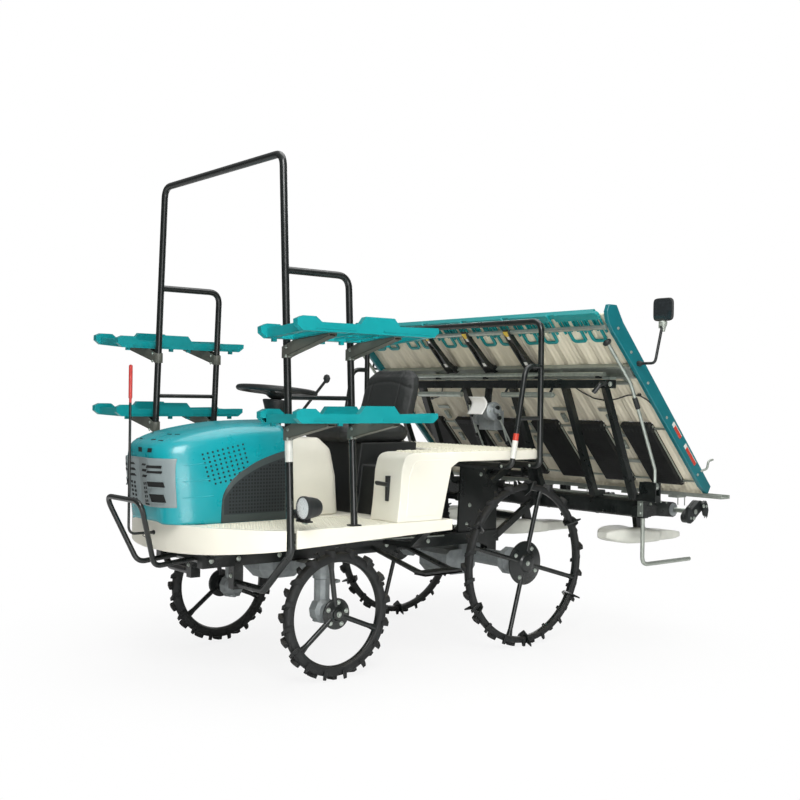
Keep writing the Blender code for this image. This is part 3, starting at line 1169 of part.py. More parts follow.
def lift():
    start = point(CYLINDER_X, 0, CYLINDER_HEIGHT)
    tip = lever_tip()
    along = (tip - start).normalized()
    total = (tip - start).length
    barrel_end = total - EYE_RADIUS * 1.2 - SEAT_GAP
    barrel = turned([(CYLINDER_RADIUS * 0.7, EYE_RADIUS * 0.5), (CYLINDER_RADIUS, EYE_RADIUS),
                     (CYLINDER_RADIUS, barrel_end - OVERRUN), (CYLINDER_RADIUS * 1.12, barrel_end - OVERRUN),
                     (CYLINDER_RADIUS * 1.12, barrel_end)], start, along)
    eye = cylinder(start - point(0, CYLINDER_EYE_HALF, 0), start + point(0, CYLINDER_EYE_HALF, 0),
                   EYE_RADIUS * 0.8)
    node("lift_cylinder", [barrel, eye], BLACK, start)
    rod = cylinder(start + along * (barrel_end + SEAT_GAP), tip, ROD_RADIUS)
    eye = cylinder(tip - point(0, EYE_WIDTH / 2, 0), tip + point(0, EYE_WIDTH / 2, 0), EYE_RADIUS * 0.7)
    node("lift_rod", [rod, eye], ZINC, tip)


# Tank frame of reference: along the slope, across, and out of the front face
TANK_TOP_POINT = point(TANK_TOP_X, 0, TANK_TOP)
TANK_FOOT_POINT = point(TANK_FOOT_X, 0, TANK_FOOT)
TANK_DOWN = (TANK_FOOT_POINT - TANK_TOP_POINT).normalized()
TANK_LENGTH = (TANK_FOOT_POINT - TANK_TOP_POINT).length
TANK_FACE = point(0, 1, 0).cross(TANK_DOWN).normalized()
if TANK_FACE.x < 0:
    TANK_FACE = -TANK_FACE


def on_tank(down, y, out):
    return TANK_TOP_POINT + TANK_DOWN * down + point(0, y, 0) + TANK_FACE * out


def tank_box(down_low, down_high, y_low, y_high, out_low, out_high):
    return skin([[on_tank(down, y, out) for y, out in ((y_low, out_low), (y_high, out_low),
                                                       (y_high, out_high), (y_low, out_high))]
                 for down in (down_low, down_high)])


def row_centres():
    return [(k - (ROWS - 1) / 2) * ROW_PITCH for k in range(ROWS)]


def tank_plates():
    """Corrugated sheet with a divider between each pair of rows on its seedling side."""
    half = TANK_HALF - SIDE_RAIL_THICK - SEAT_GAP
    front, back = [], []
    ridge = RIDGE_HEIGHT
    for centre in row_centres():
        step = ROW_PITCH * 0.84 / RIDGES_PER_ROW
        for k in range(RIDGES_PER_ROW):
            y = centre - ROW_PITCH * 0.42 + step * (k + 0.5)
            front += [(y - step * 0.35, 0), (y - step * 0.2, ridge), (y + step * 0.2, ridge),
                      (y + step * 0.35, 0)]
    for k in range(1, ROWS):
        y = (k - ROWS / 2) * ROW_PITCH
        low, high = -PLATE_SHEET, -PLATE_SHEET - DIVIDER_HEIGHT
        wide = DIVIDER_WIDTH / 2
        back += [(y - wide, low), (y - wide * 0.6, high), (y + wide * 0.6, high), (y + wide, low)]
    outline = [(-half, 0)] + front + [(half, 0), (half, -PLATE_SHEET)] + back[::-1] + [(-half, -PLATE_SHEET)]
    sheet = skin([[on_tank(down, y, out) for y, out in outline] for down in (COMB_FINGER, TANK_LENGTH)])
    low, high = (TANK_LENGTH * share for share in BELT_RUN_SHARES)
    gap = OVERRUN * 1.5
    slots = [tank_box(low - gap, high + gap, y - BELT_WIDTH / 2 - gap, y + BELT_WIDTH / 2 + gap, -BELT_THICK,
                      BELT_THICK) for y in row_centres()]
    cut(sheet, slots)
    floor = SLIDE_RAIL_HEIGHT + SLIDE_RAIL_THICK * 0.35 + SEAT_GAP
    foot = box((SLIDE_RAIL_X - SLIDE_RAIL_WIDTH * 0.3, -half, floor),
               (SLIDE_RAIL_X + SLIDE_RAIL_WIDTH * 0.3, half, TANK_FOOT + PLATE_SHEET))
    node("tank_plates", [sheet, foot], CREAM)


def belt_places():
    """Upper and lower roller places down the slope, and how far they stand out of the sheet."""
    low, high = (TANK_LENGTH * share for share in BELT_RUN_SHARES)
    roll = BELT_THICK / 2
    return low + roll, high - roll, roll - PLATE_SHEET


def feed_belts():
    low, high, middle = belt_places()
    roll = BELT_THICK / 2
    half = TANK_HALF - SIDE_RAIL_THICK - SEAT_GAP
    pieces = []
    for y in row_centres():
        outline = []
        for centre, start in ((high, -0.25), (low, 0.25)):
            for step in range(5):
                angle = math.tau * (start + step / 8)
                outline.append((centre + roll * math.cos(angle), middle + roll * math.sin(angle)))
        rings = [[on_tank(down, y + side * BELT_WIDTH / 2, out) for down, out in outline] for side in (-1, 1)]
        pieces.append(skin(rings))
    for down in (low, high):
        pieces.append(cylinder(on_tank(down, -half, middle), on_tank(down, half, middle), BELT_SHAFT,
                               TUBE_SIDES))
    node("feed_belts", pieces, RUBBER)


def side_rails():
    for name, side in (("left", 1), ("right", -1)):
        top, foot = SIDE_RAIL_DEPTH, SIDE_RAIL_FOOT_DEPTH
        outline = [(-top * 0.15, top * 0.15), (-top * 0.35, -top * 0.25), (top * 0.1, -top * 0.75),
                   (top * 1.2, -top * 0.55),
                   (TANK_LENGTH, -foot * 0.8), (TANK_LENGTH + foot * 0.3, foot * 0.2),
                   (TANK_LENGTH * 0.95, foot * 0.5),
                   (TANK_LENGTH * 0.25, top * 0.42), (top * 1.2, top * 0.5), (top * 0.3, top * 0.42)]
        inner, outer = side * (TANK_HALF - SIDE_RAIL_THICK), side * TANK_HALF
        body = skin([[on_tank(down, y, out) for down, out in outline] for y in (inner, outer)])
        lip = SLIDE_RAIL_HEIGHT + SLIDE_RAIL_THICK + SEAT_GAP
        cut(body, [box((TANK_FOOT_X - TANK_LENGTH, -TANK_LENGTH * 2, lip - TANK_LENGTH),
                       (TANK_FOOT_X + TANK_LENGTH, TANK_LENGTH * 2, lip))])
        y = side * MIRROR_Y
        foot_point = on_tank(TANK_LENGTH * 0.27, 0, 0)
        stalk = tube([foot_point + point(0, side * (TANK_HALF - SIDE_RAIL_THICK / 2), 0),
                      foot_point + point(0, y, 0),
                      (foot_point.x - ROD_RADIUS * 5, y, foot_point.z + MIRROR_HEIGHT * 1.85)],
                     ROD_RADIUS * 0.6, ROD_RADIUS * 2)
        head = skin([[point(foot_point.x - ROD_RADIUS * 5 + dx, y + a * MIRROR_WIDTH / 2 * s,
                            foot_point.z + MIRROR_HEIGHT * 2.3 + b * MIRROR_HEIGHT / 2 * s)
                      for a, b in ((-1, -0.8), (-0.8, -1), (0.8, -1), (1, -0.8), (1, 0.8), (0.8, 1),
                                   (-0.8, 1), (-1, 0.8))]
                     for dx, s in ((-ROD_RADIUS * 1.2, 0.86), (-ROD_RADIUS * 0.4, 1.0),
                                   (ROD_RADIUS * 0.6, 1.0))])
        node("tank_rail_" + name, [body, stalk, head], DARK_TEAL)


def combs():
    """Six comb units with U-shaped fingers, on one bar along the tank's top edge."""
    pieces = []
    half = (ROWS / 2) * ROW_PITCH - SIDE_RAIL_THICK * 2
    lift = RIDGE_HEIGHT + SEAT_GAP
    pieces.append(tank_box(-COMB_FINGER, COMB_FINGER - SEAT_GAP, -half, half, -PLATE_SHEET,
                           lift + COMB_FINGER * 0.6))
    drop = ROW_PITCH * 0.36
    for centre in row_centres():
        wide = ROW_PITCH * 0.44
        cap = skin([[on_tank(down, centre + a * wide, out) for a, out in
                     ((-1, lift), (1, lift), (0.94, lift + COMB_FINGER * 1.4),
                      (-0.94, lift + COMB_FINGER * 1.4))]
                    for down in (-COMB_FINGER * 1.2, COMB_FINGER * 1.8)])
        pieces.append(cap)
        for share in (-0.55, 0.0, 0.55):
            y = centre + wide * share
            arm = COMB_FINGER * 0.4
            if share:
                wide_leg, inner_leg = COMB_FINGER * 1.3 + arm, COMB_FINGER * 1.3 - arm
                loop = [(0, -wide_leg), (drop - arm, -wide_leg), (drop, -inner_leg), (drop, inner_leg),
                        (drop - arm, wide_leg), (0, wide_leg), (0, inner_leg), (drop - arm * 2, inner_leg),
                        (drop - arm * 2, -inner_leg), (0, -inner_leg)]
                pieces.append(skin([[on_tank(down, y + across, out) for down, across in loop]
                                    for out in (lift, lift + arm * 1.6)]))
            else:
                pieces.append(tank_box(0, drop * 0.6, y - arm, y + arm, lift, lift + arm * 1.6))
    node("seedling_combs", pieces, TEAL_PLASTIC)


def channel():
    """Front channel of the tank, the tube above it and the latch arms between them."""
    down = (TANK_TOP - CHANNEL_HEIGHT) / -TANK_DOWN.z
    lift = RIDGE_HEIGHT + SEAT_GAP
    half = TANK_HALF - SIDE_RAIL_THICK - SEAT_GAP
    edge = CHANNEL_DEPTH / 2
    pieces = [tank_box(down - edge, down + edge, -half, half, lift, lift + CHANNEL_THICK)]
    slot = tank_box(down - edge * 0.7, down + edge * 0.7, -half - OVERRUN, half + OVERRUN,
                    lift + CHANNEL_THICK * 0.3,
                    lift + CHANNEL_THICK * 2)
    cut(pieces[0], [slot])
    tube_down = ROW_PITCH * 0.21
    out = lift + COMB_FINGER * 1.4 + PRESS_TUBE_RADIUS + OVERRUN
    pieces.append(cylinder(on_tank(tube_down, -half, out), on_tank(tube_down, half, out), PRESS_TUBE_RADIUS,
                           TUBE_SIDES))
    for k in (-2, -1, 0, 1, 2):
        y = k * ROW_PITCH
        pieces.append(bar([on_tank(tube_down, y, out), on_tank(down * 0.6, y, out + PRESS_TUBE_RADIUS),
                           on_tank(down, y, lift + CHANNEL_THICK * 0.1)], COMB_FINGER * 1.2,
                          PRESS_TUBE_RADIUS * 1.4,
                          (0, 1, 0)))
    node("tank_channel", pieces, ZINC)


def slide_rail():
    low = SLIDE_RAIL_HEIGHT
    high = low + SLIDE_RAIL_THICK
    half = SLIDE_RAIL_HALF
    x = SLIDE_RAIL_X
    wide = SLIDE_RAIL_WIDTH / 2
    outline = [(x - wide, low), (x + wide, low), (x + wide, high), (x + wide * 0.75, high),
               (x + wide * 0.75, low + SLIDE_RAIL_THICK * 0.35),
               (x - wide * 0.75, low + SLIDE_RAIL_THICK * 0.35),
               (x - wide * 0.75, high), (x - wide, high)]
    body = prism(outline, "Y", -half, half)
    node("slide_rail", [body], ZINC)


# Planting section
def planter_frame():
    """Upper beam, leaning posts and the headstock that the lift links carry."""
    s = BEAM_SIZE / 2
    pieces = [box((BEAM_X - s, -BEAM_HALF, BEAM_HEIGHT - s), (BEAM_X + s, BEAM_HALF, BEAM_HEIGHT + s))]
    foot = DRIVE_BEAM_HEIGHT + DRIVE_BEAM_SIZE / 2 + SEAT_GAP
    lower_z, upper_z = LINK_REAR_HEIGHT, LINK_REAR_HEIGHT + LINK_RISE
    x = LINK_REAR_X
    eye = EYE_RADIUS
    inner_post = LOWER_SPREAD + EYE_WIDTH / 2 + SEAT_GAP + PLATE_THICK * 0.8 + BEAM_SIZE * 0.45
    # the next post passes outside the rear wheel when the section is lowered
    middle_post = REAR_TRACK / 2 + LUG_WIDTH / 2 + POST_CLEARANCE + BEAM_SIZE * 0.45
    for side in (1, -1):
        for y in (inner_post, middle_post, BEAM_HALF * 0.93):
            y *= side
            pieces.append(bar([(BEAM_X, y, BEAM_HEIGHT), (POST_FOOT_X - s, y, foot + BEAM_SIZE * 0.4),
                               (DRIVE_BEAM_X, y, foot + BEAM_SIZE * 0.4)], BEAM_SIZE * 0.9, BEAM_SIZE * 0.8,
                              (0, 1, 0)))
            pieces.append(box((DRIVE_BEAM_X - s * 1.5, y - s * 1.4, foot),
                              (DRIVE_BEAM_X + s * 1.5, y + s * 1.4,
                                                                         foot + s * 0.6)))
        y = side * (LOWER_SPREAD + EYE_WIDTH / 2 + SEAT_GAP)
        cheek = [(x - eye * 0.9, lower_z - eye), (x + eye, lower_z - eye), (x + eye * 1.2, lower_z + eye * 2),
                 (POST_FOOT_X + eye * 3.4, upper_z), (x, upper_z + eye), (x - eye * 0.9, upper_z)]
        pieces.append(prism(cheek, "Y", y, y + side * PLATE_THICK))
        y = side * (UPPER_SPREAD + EYE_WIDTH / 2 + SEAT_GAP)
        cheek = [(x - eye, lower_z + LINK_RISE * 0.5), (x + eye, lower_z + LINK_RISE * 0.5),
                 (x + eye, upper_z + eye),
                 (x - eye, upper_z + eye)]
        pieces.append(prism(cheek, "Y", y, y + side * PLATE_THICK))
    z = lower_z + LINK_RISE * 0.55
    pieces.append(cylinder((x, -LOWER_SPREAD - EYE_WIDTH, z), (x, LOWER_SPREAD + EYE_WIDTH, z),
                           CROSS_RADIUS, TUBE_SIDES))
    node("planter_frame", pieces, BLACK)


def case_places():
    return [k * ROW_PITCH * 2 for k in range(-(ROWS // 4), ROWS // 4 + 1)]


def planting_cases():
    """Drive beam with its rearward cases, the stands and the marker arm brackets."""
    s = DRIVE_BEAM_SIZE / 2
    z = DRIVE_BEAM_HEIGHT
    pieces = [prism([(DRIVE_BEAM_X - s, z - s * 0.8), (DRIVE_BEAM_X - s * 0.8, z - s),
                     (DRIVE_BEAM_X + s * 0.8, z - s),
                     (DRIVE_BEAM_X + s, z - s * 0.8), (DRIVE_BEAM_X + s, z + s * 0.8),
                     (DRIVE_BEAM_X + s * 0.8, z + s),
                     (DRIVE_BEAM_X - s * 0.8, z + s), (DRIVE_BEAM_X - s, z + s * 0.8)], "Y",
                    -DRIVE_BEAM_HALF, DRIVE_BEAM_HALF)]
    end = CASE_HEIGHT * 0.42
    tools = []
    for y in case_places():
        outline = [(DRIVE_BEAM_X, z + s * 0.7), (DRIVE_BEAM_X, z - s * 0.9)]
        for step in range(7):
            angle = math.tau * (0.75 - step / 12)
            outline.append((ROTOR_X + end * math.cos(angle), ROTOR_HEIGHT + end * math.sin(angle)))
        pieces.append(prism(outline, "Y", y - CASE_WIDTH / 2, y + CASE_WIDTH / 2))
        top = SLIDE_RAIL_HEIGHT - SEAT_GAP
        x = SLIDE_RAIL_X
        pieces.append(box((x - CASE_WIDTH * 0.3, y - CASE_WIDTH * 0.35, ROTOR_HEIGHT),
                          (x + CASE_WIDTH * 0.3, y + CASE_WIDTH * 0.35, top)))
        # pedestal that carries the float below the case
        foot = FLOAT_FOOT + FLOAT_HEIGHT + SEAT_GAP
        x = sum(float_ends(y)) / 2
        pieces.append(prism([(x - CASE_WIDTH * 0.5, foot), (x + CASE_WIDTH * 0.3, foot),
                             (x + CASE_WIDTH * 0.6, z - s * 0.5),
                             (x, z - s * 0.5)], "Y", y - CASE_WIDTH * 0.2, y + CASE_WIDTH * 0.2))
        # the facets of the shaft turn inside those of the bore
        bore = ROTOR_SHAFT_RADIUS / math.cos(math.pi / SHAFT_STEPS) + SEAT_GAP
        tools.append(cylinder((ROTOR_X, y - CASE_WIDTH, ROTOR_HEIGHT),
                              (ROTOR_X, y + CASE_WIDTH, ROTOR_HEIGHT), bore,
                              SHAFT_STEPS))
    for side in (1, -1):
        y = side * STAND_Y
        pieces.append(tube([(STAND_X, y, STAND_TOP), (STAND_X, y, STAND_HEIGHT),
                            (STAND_REAR_X, y, STAND_HEIGHT)],
                           STAND_RADIUS, STAND_RADIUS * 4))
        clamp = STAND_RADIUS * 1.8
        pieces.append(box((DRIVE_BEAM_X - s * 0.8, min(y, side * (DRIVE_BEAM_HALF - clamp)), z - s * 0.8),
                          (STAND_X + clamp, max(y, side * (DRIVE_BEAM_HALF - clamp)), z + s * 0.4)))
        pieces.append(box((STAND_X - clamp, y - clamp, z - s * 0.9), (STAND_X + clamp, y + clamp, z + s)))
        # fork of the marker arm, in front of and behind its eye
        for step in (1, -1):
            near = MARKER_ARM_X + step * (EYE_WIDTH / 2 + SEAT_GAP)
            low, high = sorted((near, near + step * PLATE_THICK * 0.8))
            pieces.append(box((low, min(y, side * (MARKER_ARM_Y + EYE_RADIUS * 0.7)),
                               MARKER_ARM_HEIGHT - EYE_RADIUS * 2.2),
                              (high, max(y, side * (MARKER_ARM_Y + EYE_RADIUS * 0.7)), MARKER_ARM_HEIGHT
                               + EYE_RADIUS * 0.7)))
        floor = MARKER_ARM_HEIGHT - EYE_RADIUS * 1.5
        pieces.append(box((MARKER_ARM_X - EYE_WIDTH / 2 - PLATE_THICK * 0.8,
                           min(side * (STAND_Y - clamp), side
                           * (MARKER_ARM_Y + EYE_RADIUS * 0.7)), floor - PLATE_THICK * 2.5),
                          (MARKER_ARM_X + EYE_WIDTH / 2 + PLATE_THICK * 0.8,
                           max(side * (STAND_Y - clamp), side
                           * (MARKER_ARM_Y + EYE_RADIUS * 0.7)), floor)))
    body = pieces[0]
    combine(body, pieces[1:], "UNION")
    cut(body, tools)
    node("planting_cases", [body], BLACK)


def rotors():
    """One shaft through each case, with an oval drive and two planting arms at each end."""
    for name, y in zip(("right", "middle", "left"), case_places()):
        reach = ROW_PITCH / 2 + ROTOR_CASE_WIDTH / 2
        pieces = [cylinder((ROTOR_X, y - reach, ROTOR_HEIGHT), (ROTOR_X, y + reach, ROTOR_HEIGHT),
                           ROTOR_SHAFT_RADIUS, SHAFT_STEPS)]
        for side in (1, -1):
            middle = y + side * ROW_PITCH / 2
            outline = []
            long, round_end = ROTOR_ARM_RADIUS * 0.42, ROTOR_ARM_RADIUS * 0.24
            for centre, start in ((long, -0.25), (-long, 0.25)):
                for step in range(5):
                    angle = math.tau * (start + step / 8)
                    outline.append((centre + round_end * math.cos(angle), round_end * math.sin(angle)))
            drive = prism(outline, "Y", middle - ROTOR_CASE_WIDTH / 2, middle + ROTOR_CASE_WIDTH / 2)
            parts = [drive]
            for end in (1, -1):
                arm_outline = [(end * long * 1.1, -end * round_end * 0.5),
                               (end * long * 1.75, -end * round_end * 0.3),
                               (end * long * 1.55, end * round_end * 1.6),
                               (end * long * 0.9, end * round_end * 2.6),
                               (end * long * 0.75, end * round_end * 1.9),
                               (end * long * 0.95, end * round_end * 0.6)]
                low = middle + side * ROTOR_CASE_WIDTH * 0.4
                parts.append(prism(arm_outline, "Y", low, low + side * ROTOR_CASE_WIDTH * 0.5))
            for part in parts:
                moved(part, Matrix.Rotation(math.radians(35), 4, "Y"))
                moved(part, Matrix.Translation((ROTOR_X, 0, ROTOR_HEIGHT)))
            pieces += parts
        node("planting_rotor_" + name, pieces, GREY_METAL, (ROTOR_X, y, ROTOR_HEIGHT))


def float_ends(y):
    return (MIDDLE_FLOAT_FRONT, MIDDLE_FLOAT_REAR) if y == 0 else (SIDE_FLOAT_FRONT, SIDE_FLOAT_REAR)


def floats():
    """Broad skids with a raised nose, a middle groove and stepped tail wings."""
    names = ("right", "middle", "left")
    for name, y in zip(names, case_places()):
        front, rear = float_ends(y)
        length = front - rear
        station_shares = ((0.00, 0.30, 0.62, 0.80), (0.06, 0.62, 0.38, 0.92), (0.20, 0.92, 0.10, 1.0),
                          (0.38, 1.0, 0.0, 1.0),
                (0.62, 1.0, 0.0, 1.0), (0.66, 0.72, 0.0, 0.95), (0.90, 0.68, 0.0, 0.75),
                          (1.0, 0.60, 0.12, 0.60))
        rings = []
        for along, wide, low, high in station_shares:
            x = front - length * along
            half = FLOAT_HALF * wide
            z0, z1 = FLOAT_FOOT + FLOAT_HEIGHT * low, FLOAT_FOOT + FLOAT_HEIGHT * high
            soft = FLOAT_HEIGHT * 0.22
            rings.append([point(x, y + a, z) for a, z in (
                (-half + soft, z0), (half - soft, z0), (half, z0 + soft), (half, z1 - soft * 0.5),
                                                          (half - soft, z1),
                (-half + soft, z1), (-half, z1 - soft * 0.5), (-half, z0 + soft))])
        node("float_" + name, [skin(rings)], FLOAT_GREY)


def marker_arms():
    for name, side in (("left", 1), ("right", -1)):
        y = side * MARKER_ARM_Y
        pivot = point(MARKER_ARM_X, y, MARKER_ARM_HEIGHT)
        rise = MARKER_ARM_TOP - MARKER_ARM_HEIGHT
        run = MARKER_ARM_TOP_X - MARKER_ARM_X
        eye = cylinder(pivot - point(EYE_WIDTH / 2, 0, 0), pivot + point(EYE_WIDTH / 2, 0, 0),
                       EYE_RADIUS * 0.7)
        rod = tube([pivot, pivot + point(0, 0, rise * 0.12), pivot + point(run * 0.28, 0, rise * 0.45),
                    pivot + point(run * 0.52, 0, rise * 0.72), pivot + point(run, 0, rise)],
                   MARKER_ARM_RADIUS,
                   MARKER_ARM_RADIUS * 6)
        disc = cylinder(pivot + point(run - MARKER_ARM_RADIUS, 0, rise - MARKER_ARM_RADIUS),
                        pivot + point(run + MARKER_ARM_RADIUS * 1.5, 0, rise + MARKER_ARM_RADIUS),
                        MARKER_ARM_RADIUS * 2.4,
                        TUBE_SIDES)
        node("marker_arm_" + name, [rod, eye, disc], ZINC, pivot)


def centre_machine():
    """Move everything so that the origin lies under the middle of the machine's box."""
    bpy.context.view_layer.update()
    xs, ys, zs = [], [], []
    pieces = [ob for ob in bpy.data.objects if ob.type == "MESH"]
    for ob in pieces:
        for vertex in ob.data.vertices:
            place = ob.matrix_world @ vertex.co
            xs.append(place.x)
            ys.append(place.y)
            zs.append(place.z)
    shift = point(-(min(xs) + max(xs)) / 2, -(min(ys) + max(ys)) / 2, -min(zs))
    for ob in pieces:
        ob.location += shift


def build():
    wheels()
    knuckles()
    front_axle()
    rear_axle()
    main_frame()
    cylinder_bracket()
    engine()
    step_deck()
    rear_deck()
    console()
    steering()
    bonnet()
    seat()
    rack()
    trays()
    rear_rail()
    small_pieces()
    links()
    lift()
    tank_plates()
    feed_belts()
    side_rails()
    combs()
    channel()
    slide_rail()
    planter_frame()
    planting_cases()
    rotors()
    floats()
    marker_arms()
    centre_machine()


build()
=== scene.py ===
"""Looks of a riding rice transplanter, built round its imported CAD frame."""
import json
import math

import bmesh
import bpy
from mathutils import Matrix, Vector
from mathutils.bvhtree import BVHTree

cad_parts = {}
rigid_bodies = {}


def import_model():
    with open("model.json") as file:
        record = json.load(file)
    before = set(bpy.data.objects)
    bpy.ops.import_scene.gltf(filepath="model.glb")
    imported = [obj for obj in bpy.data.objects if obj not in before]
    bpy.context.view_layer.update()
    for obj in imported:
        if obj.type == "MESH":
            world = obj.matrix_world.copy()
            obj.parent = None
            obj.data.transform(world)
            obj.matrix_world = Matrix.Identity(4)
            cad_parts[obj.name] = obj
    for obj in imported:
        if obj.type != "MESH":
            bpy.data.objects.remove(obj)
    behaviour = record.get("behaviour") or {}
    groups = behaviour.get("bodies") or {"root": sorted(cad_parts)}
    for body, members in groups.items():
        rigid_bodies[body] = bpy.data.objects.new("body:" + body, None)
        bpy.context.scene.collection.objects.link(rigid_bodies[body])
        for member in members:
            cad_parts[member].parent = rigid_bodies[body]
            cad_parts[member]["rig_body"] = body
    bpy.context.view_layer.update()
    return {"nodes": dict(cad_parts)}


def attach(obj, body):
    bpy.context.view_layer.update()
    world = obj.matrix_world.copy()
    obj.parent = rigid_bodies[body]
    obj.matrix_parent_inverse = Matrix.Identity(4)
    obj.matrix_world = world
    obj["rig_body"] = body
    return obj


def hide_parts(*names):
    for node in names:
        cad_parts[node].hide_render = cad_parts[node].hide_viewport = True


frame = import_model()

# Every place below is measured from the rear axle; this moves it to the frame's own origin.
SHIFT = -0.44641679525375366
TAU = math.tau
WELD = 0.00002  # points nearer than this are one
FLANKS = (("left", 1), ("right", -1))
WHITE = (1, 1, 1, 1)


# ---- mesh helpers ----
def P(x, y, z):
    return Vector((x, y, z))


def fresh(count):
    return [bmesh.new() for _ in range(count)]


def circle(count, start=0.0, turns=1.0, ends=False):
    """Cosine and sine of even steps round a circle; start and turns are in whole turns."""
    angles = [TAU * (start + turns * k / count) for k in range(count + ends)]
    return [(math.cos(a), math.sin(a)) for a in angles]


def squared(value, power):
    """Cosine or sine pushed outward, for rounded squares."""
    return math.copysign(abs(value) ** power, value)


def dent(distance, width):
    """Bell curve for seams and hollows."""
    return math.exp(-(distance / width) ** 2)


def clamp(value, low, high):
    return min(max(value, low), high)


def between(rows, x):
    """Straight-line value at x in rows of (x, value); None outside them."""
    for (xa, a), (xb, b) in zip(rows, rows[1:]):
        if xa <= x <= xb:
            return a + (b - a) * (x - xa) / max(xb - xa, 1e-6)
    return None


def skin(bm, rings, loop=True, caps=True):
    """Joins rings of points into one surface, with a cap on each end."""
    rows = [[bm.verts.new(p) for p in ring] for ring in rings]
    count = len(rows[0])
    for a, b in zip(rows, rows[1:]):
        for k in range(count if loop else count - 1):
            m = (k + 1) % count
            bm.faces.new((a[k], a[m], b[m], b[k]))
    if caps and loop:
        bm.faces.new(rows[0][::-1])
        bm.faces.new(rows[-1])
    return rows


def hoop(bm, rings):
    """Skin over rings that run round in a circle, in a bmesh that holds nothing else yet."""
    skin(bm, rings + [rings[0]], caps=False)
    bmesh.ops.remove_doubles(bm, verts=bm.verts, dist=WELD)


def prism(bm, outline, axis, low, high):
    order = {"X": (2, 0, 1), "Y": (0, 2, 1), "Z": (0, 1, 2)}[axis]
    skin(bm, [[P(*((a, b, c)[k] for k in order)) for a, b in outline] for c in (low, high)])


def box(bm, low, high):
    (x0, y0, z0), (x1, y1, z1) = low, high
    y0, y1 = sorted((y0, y1))
    prism(bm, [(x0, y0), (x1, y0), (x1, y1), (x0, y1)], "Z", z0, z1)


def bent(points, bend, steps=8):
    """Path with its corners drawn round, in the same way as the CAD tubes."""
    points = [Vector(p) for p in points]
    path = [points[0]]
    for before, corner, after in zip(points, points[1:], points[2:]):
        first, second = before - corner, after - corner
        half = first.angle(second) / 2
        if bend == 0 or half > math.radians(89):
            path.append(corner)
            continue
        reach = min(bend / math.tan(half), first.length / 2, second.length / 2)
        start, end = corner + first.normalized() * reach, corner + second.normalized() * reach
        for t in [k / steps for k in range(steps + 1)]:
            path.append(start.lerp(corner, t).lerp(corner.lerp(end, t), t))
    return path + [points[-1]]


def heading(path, i):
    """Direction of a path at its point i, from its neighbours."""
    return path[min(i + 1, len(path) - 1)] - path[max(i - 1, 0)]


def sweep(bm, path, size, sides=16, tip=None, flat=1.0):
    """Round or flattened bar along a path of points."""
    path = [Vector(p) for p in path]
    side = (path[1] - path[0]).normalized().orthogonal().normalized()
    rings = []
    for i, centre in enumerate(path):
        ahead, behind = path[min(i + 1, len(path) - 1)] - centre, centre - path[max(i - 1, 0)]
        along = (ahead.normalized() + behind.normalized()).normalized()
        side = (side - along * side.dot(along)).normalized()
        across = along.cross(side)
        r = size if tip is None else size + (tip - size) * i / (len(path) - 1)
        rings.append([centre + side * c * r + across * s * r * flat for c, s in circle(sides)])
    skin(bm, rings)


def tube(bm, points, radius, bend=0.0, sides=16):
    sweep(bm, bent(points, bend), radius, sides)


def rod(bm, start, end, radius, sides=16):
    sweep(bm, [start, end], radius, sides)


def strap(bm, points, width, thick, across=(0, 1, 0)):
    """Flat bar along a path; across is the direction of its width."""
    points, across = [Vector(p) for p in points], Vector(across).normalized()
    rings = []
    for i, centre in enumerate(points):
        along = heading(points, i).normalized()
        wide = (across - along * across.dot(along)).normalized()
        deep = along.cross(wide)
        rings.append([centre + wide * a * width / 2 + deep * b * thick / 2
                      for a, b in ((-1, -1), (1, -1), (1, 1), (-1, 1))])
    skin(bm, rings)


def turned(bm, profile, centre, axis, steps=40):
    """Surface of revolution from (radius, height) pairs; ends of radius 0 close in a point."""
    centre, axis = Vector(centre), Vector(axis).normalized()
    side = axis.orthogonal().normalized()
    across = axis.cross(side)
    skin(bm, [[centre + axis * h + (side * c + across * s) * max(r, 0.0002) for c, s in circle(steps)]
              for r, h in profile])


def bolt(bm, place, axis, size=0.006):
    """Hexagon head on a thin washer."""
    turned(bm, [(size * 1.45, 0), (size * 1.45, size * 0.22), (size * 1.3, size * 0.3)], place, axis, 14)
    turned(bm, [(size, size * 0.2), (size, size * 0.85), (size * 0.8, size)], place, axis, 6)


def linked(name, bm):
    """Scene object from a bmesh, with its faces turned outward."""
    bmesh.ops.recalc_face_normals(bm, faces=bm.faces)
    mesh = bpy.data.meshes.new(name)
    bm.to_mesh(mesh)
    bm.free()
    ob = bpy.data.objects.new(name, mesh)
    bpy.context.scene.collection.objects.link(ob)
    return ob


MATS, SLOTS = {}, {}


def piece(name, bm, mat, body="chassis", slot=None, bevel=0.0, segments=2, smooth=32, stands=None, wall=0.0,
          place=True):
    """Makes the object, shades it, lets it ride on its body and hides the node it stands for."""
    if place:
        bmesh.ops.translate(bm, verts=bm.verts, vec=(SHIFT, 0, 0))
    bmesh.ops.recalc_face_normals(bm, faces=bm.faces)
    for face in bm.faces:
        face.smooth = True
    for edge in bm.edges:
        if len(edge.link_faces) == 2 and edge.calc_face_angle(0) > math.radians(smooth):
            edge.smooth = False
    ob = linked(name, bm)
    ob.data.materials.append(MATS[mat])
    if wall:
        mod = ob.modifiers.new("wall", "SOLIDIFY")
        mod.thickness, mod.offset = wall, -1
    if bevel:
        mod = ob.modifiers.new("edges", "BEVEL")
        mod.width, mod.segments, mod.limit_method, mod.angle_limit = bevel, segments, "ANGLE", math.radians(30)
        mod.harden_normals = mod.use_clamp_overlap = True
    if body:
        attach(ob, body)
    slot = SLOTS[mat] if slot is None else slot
    if stands:
        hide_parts(stands)
    return ob


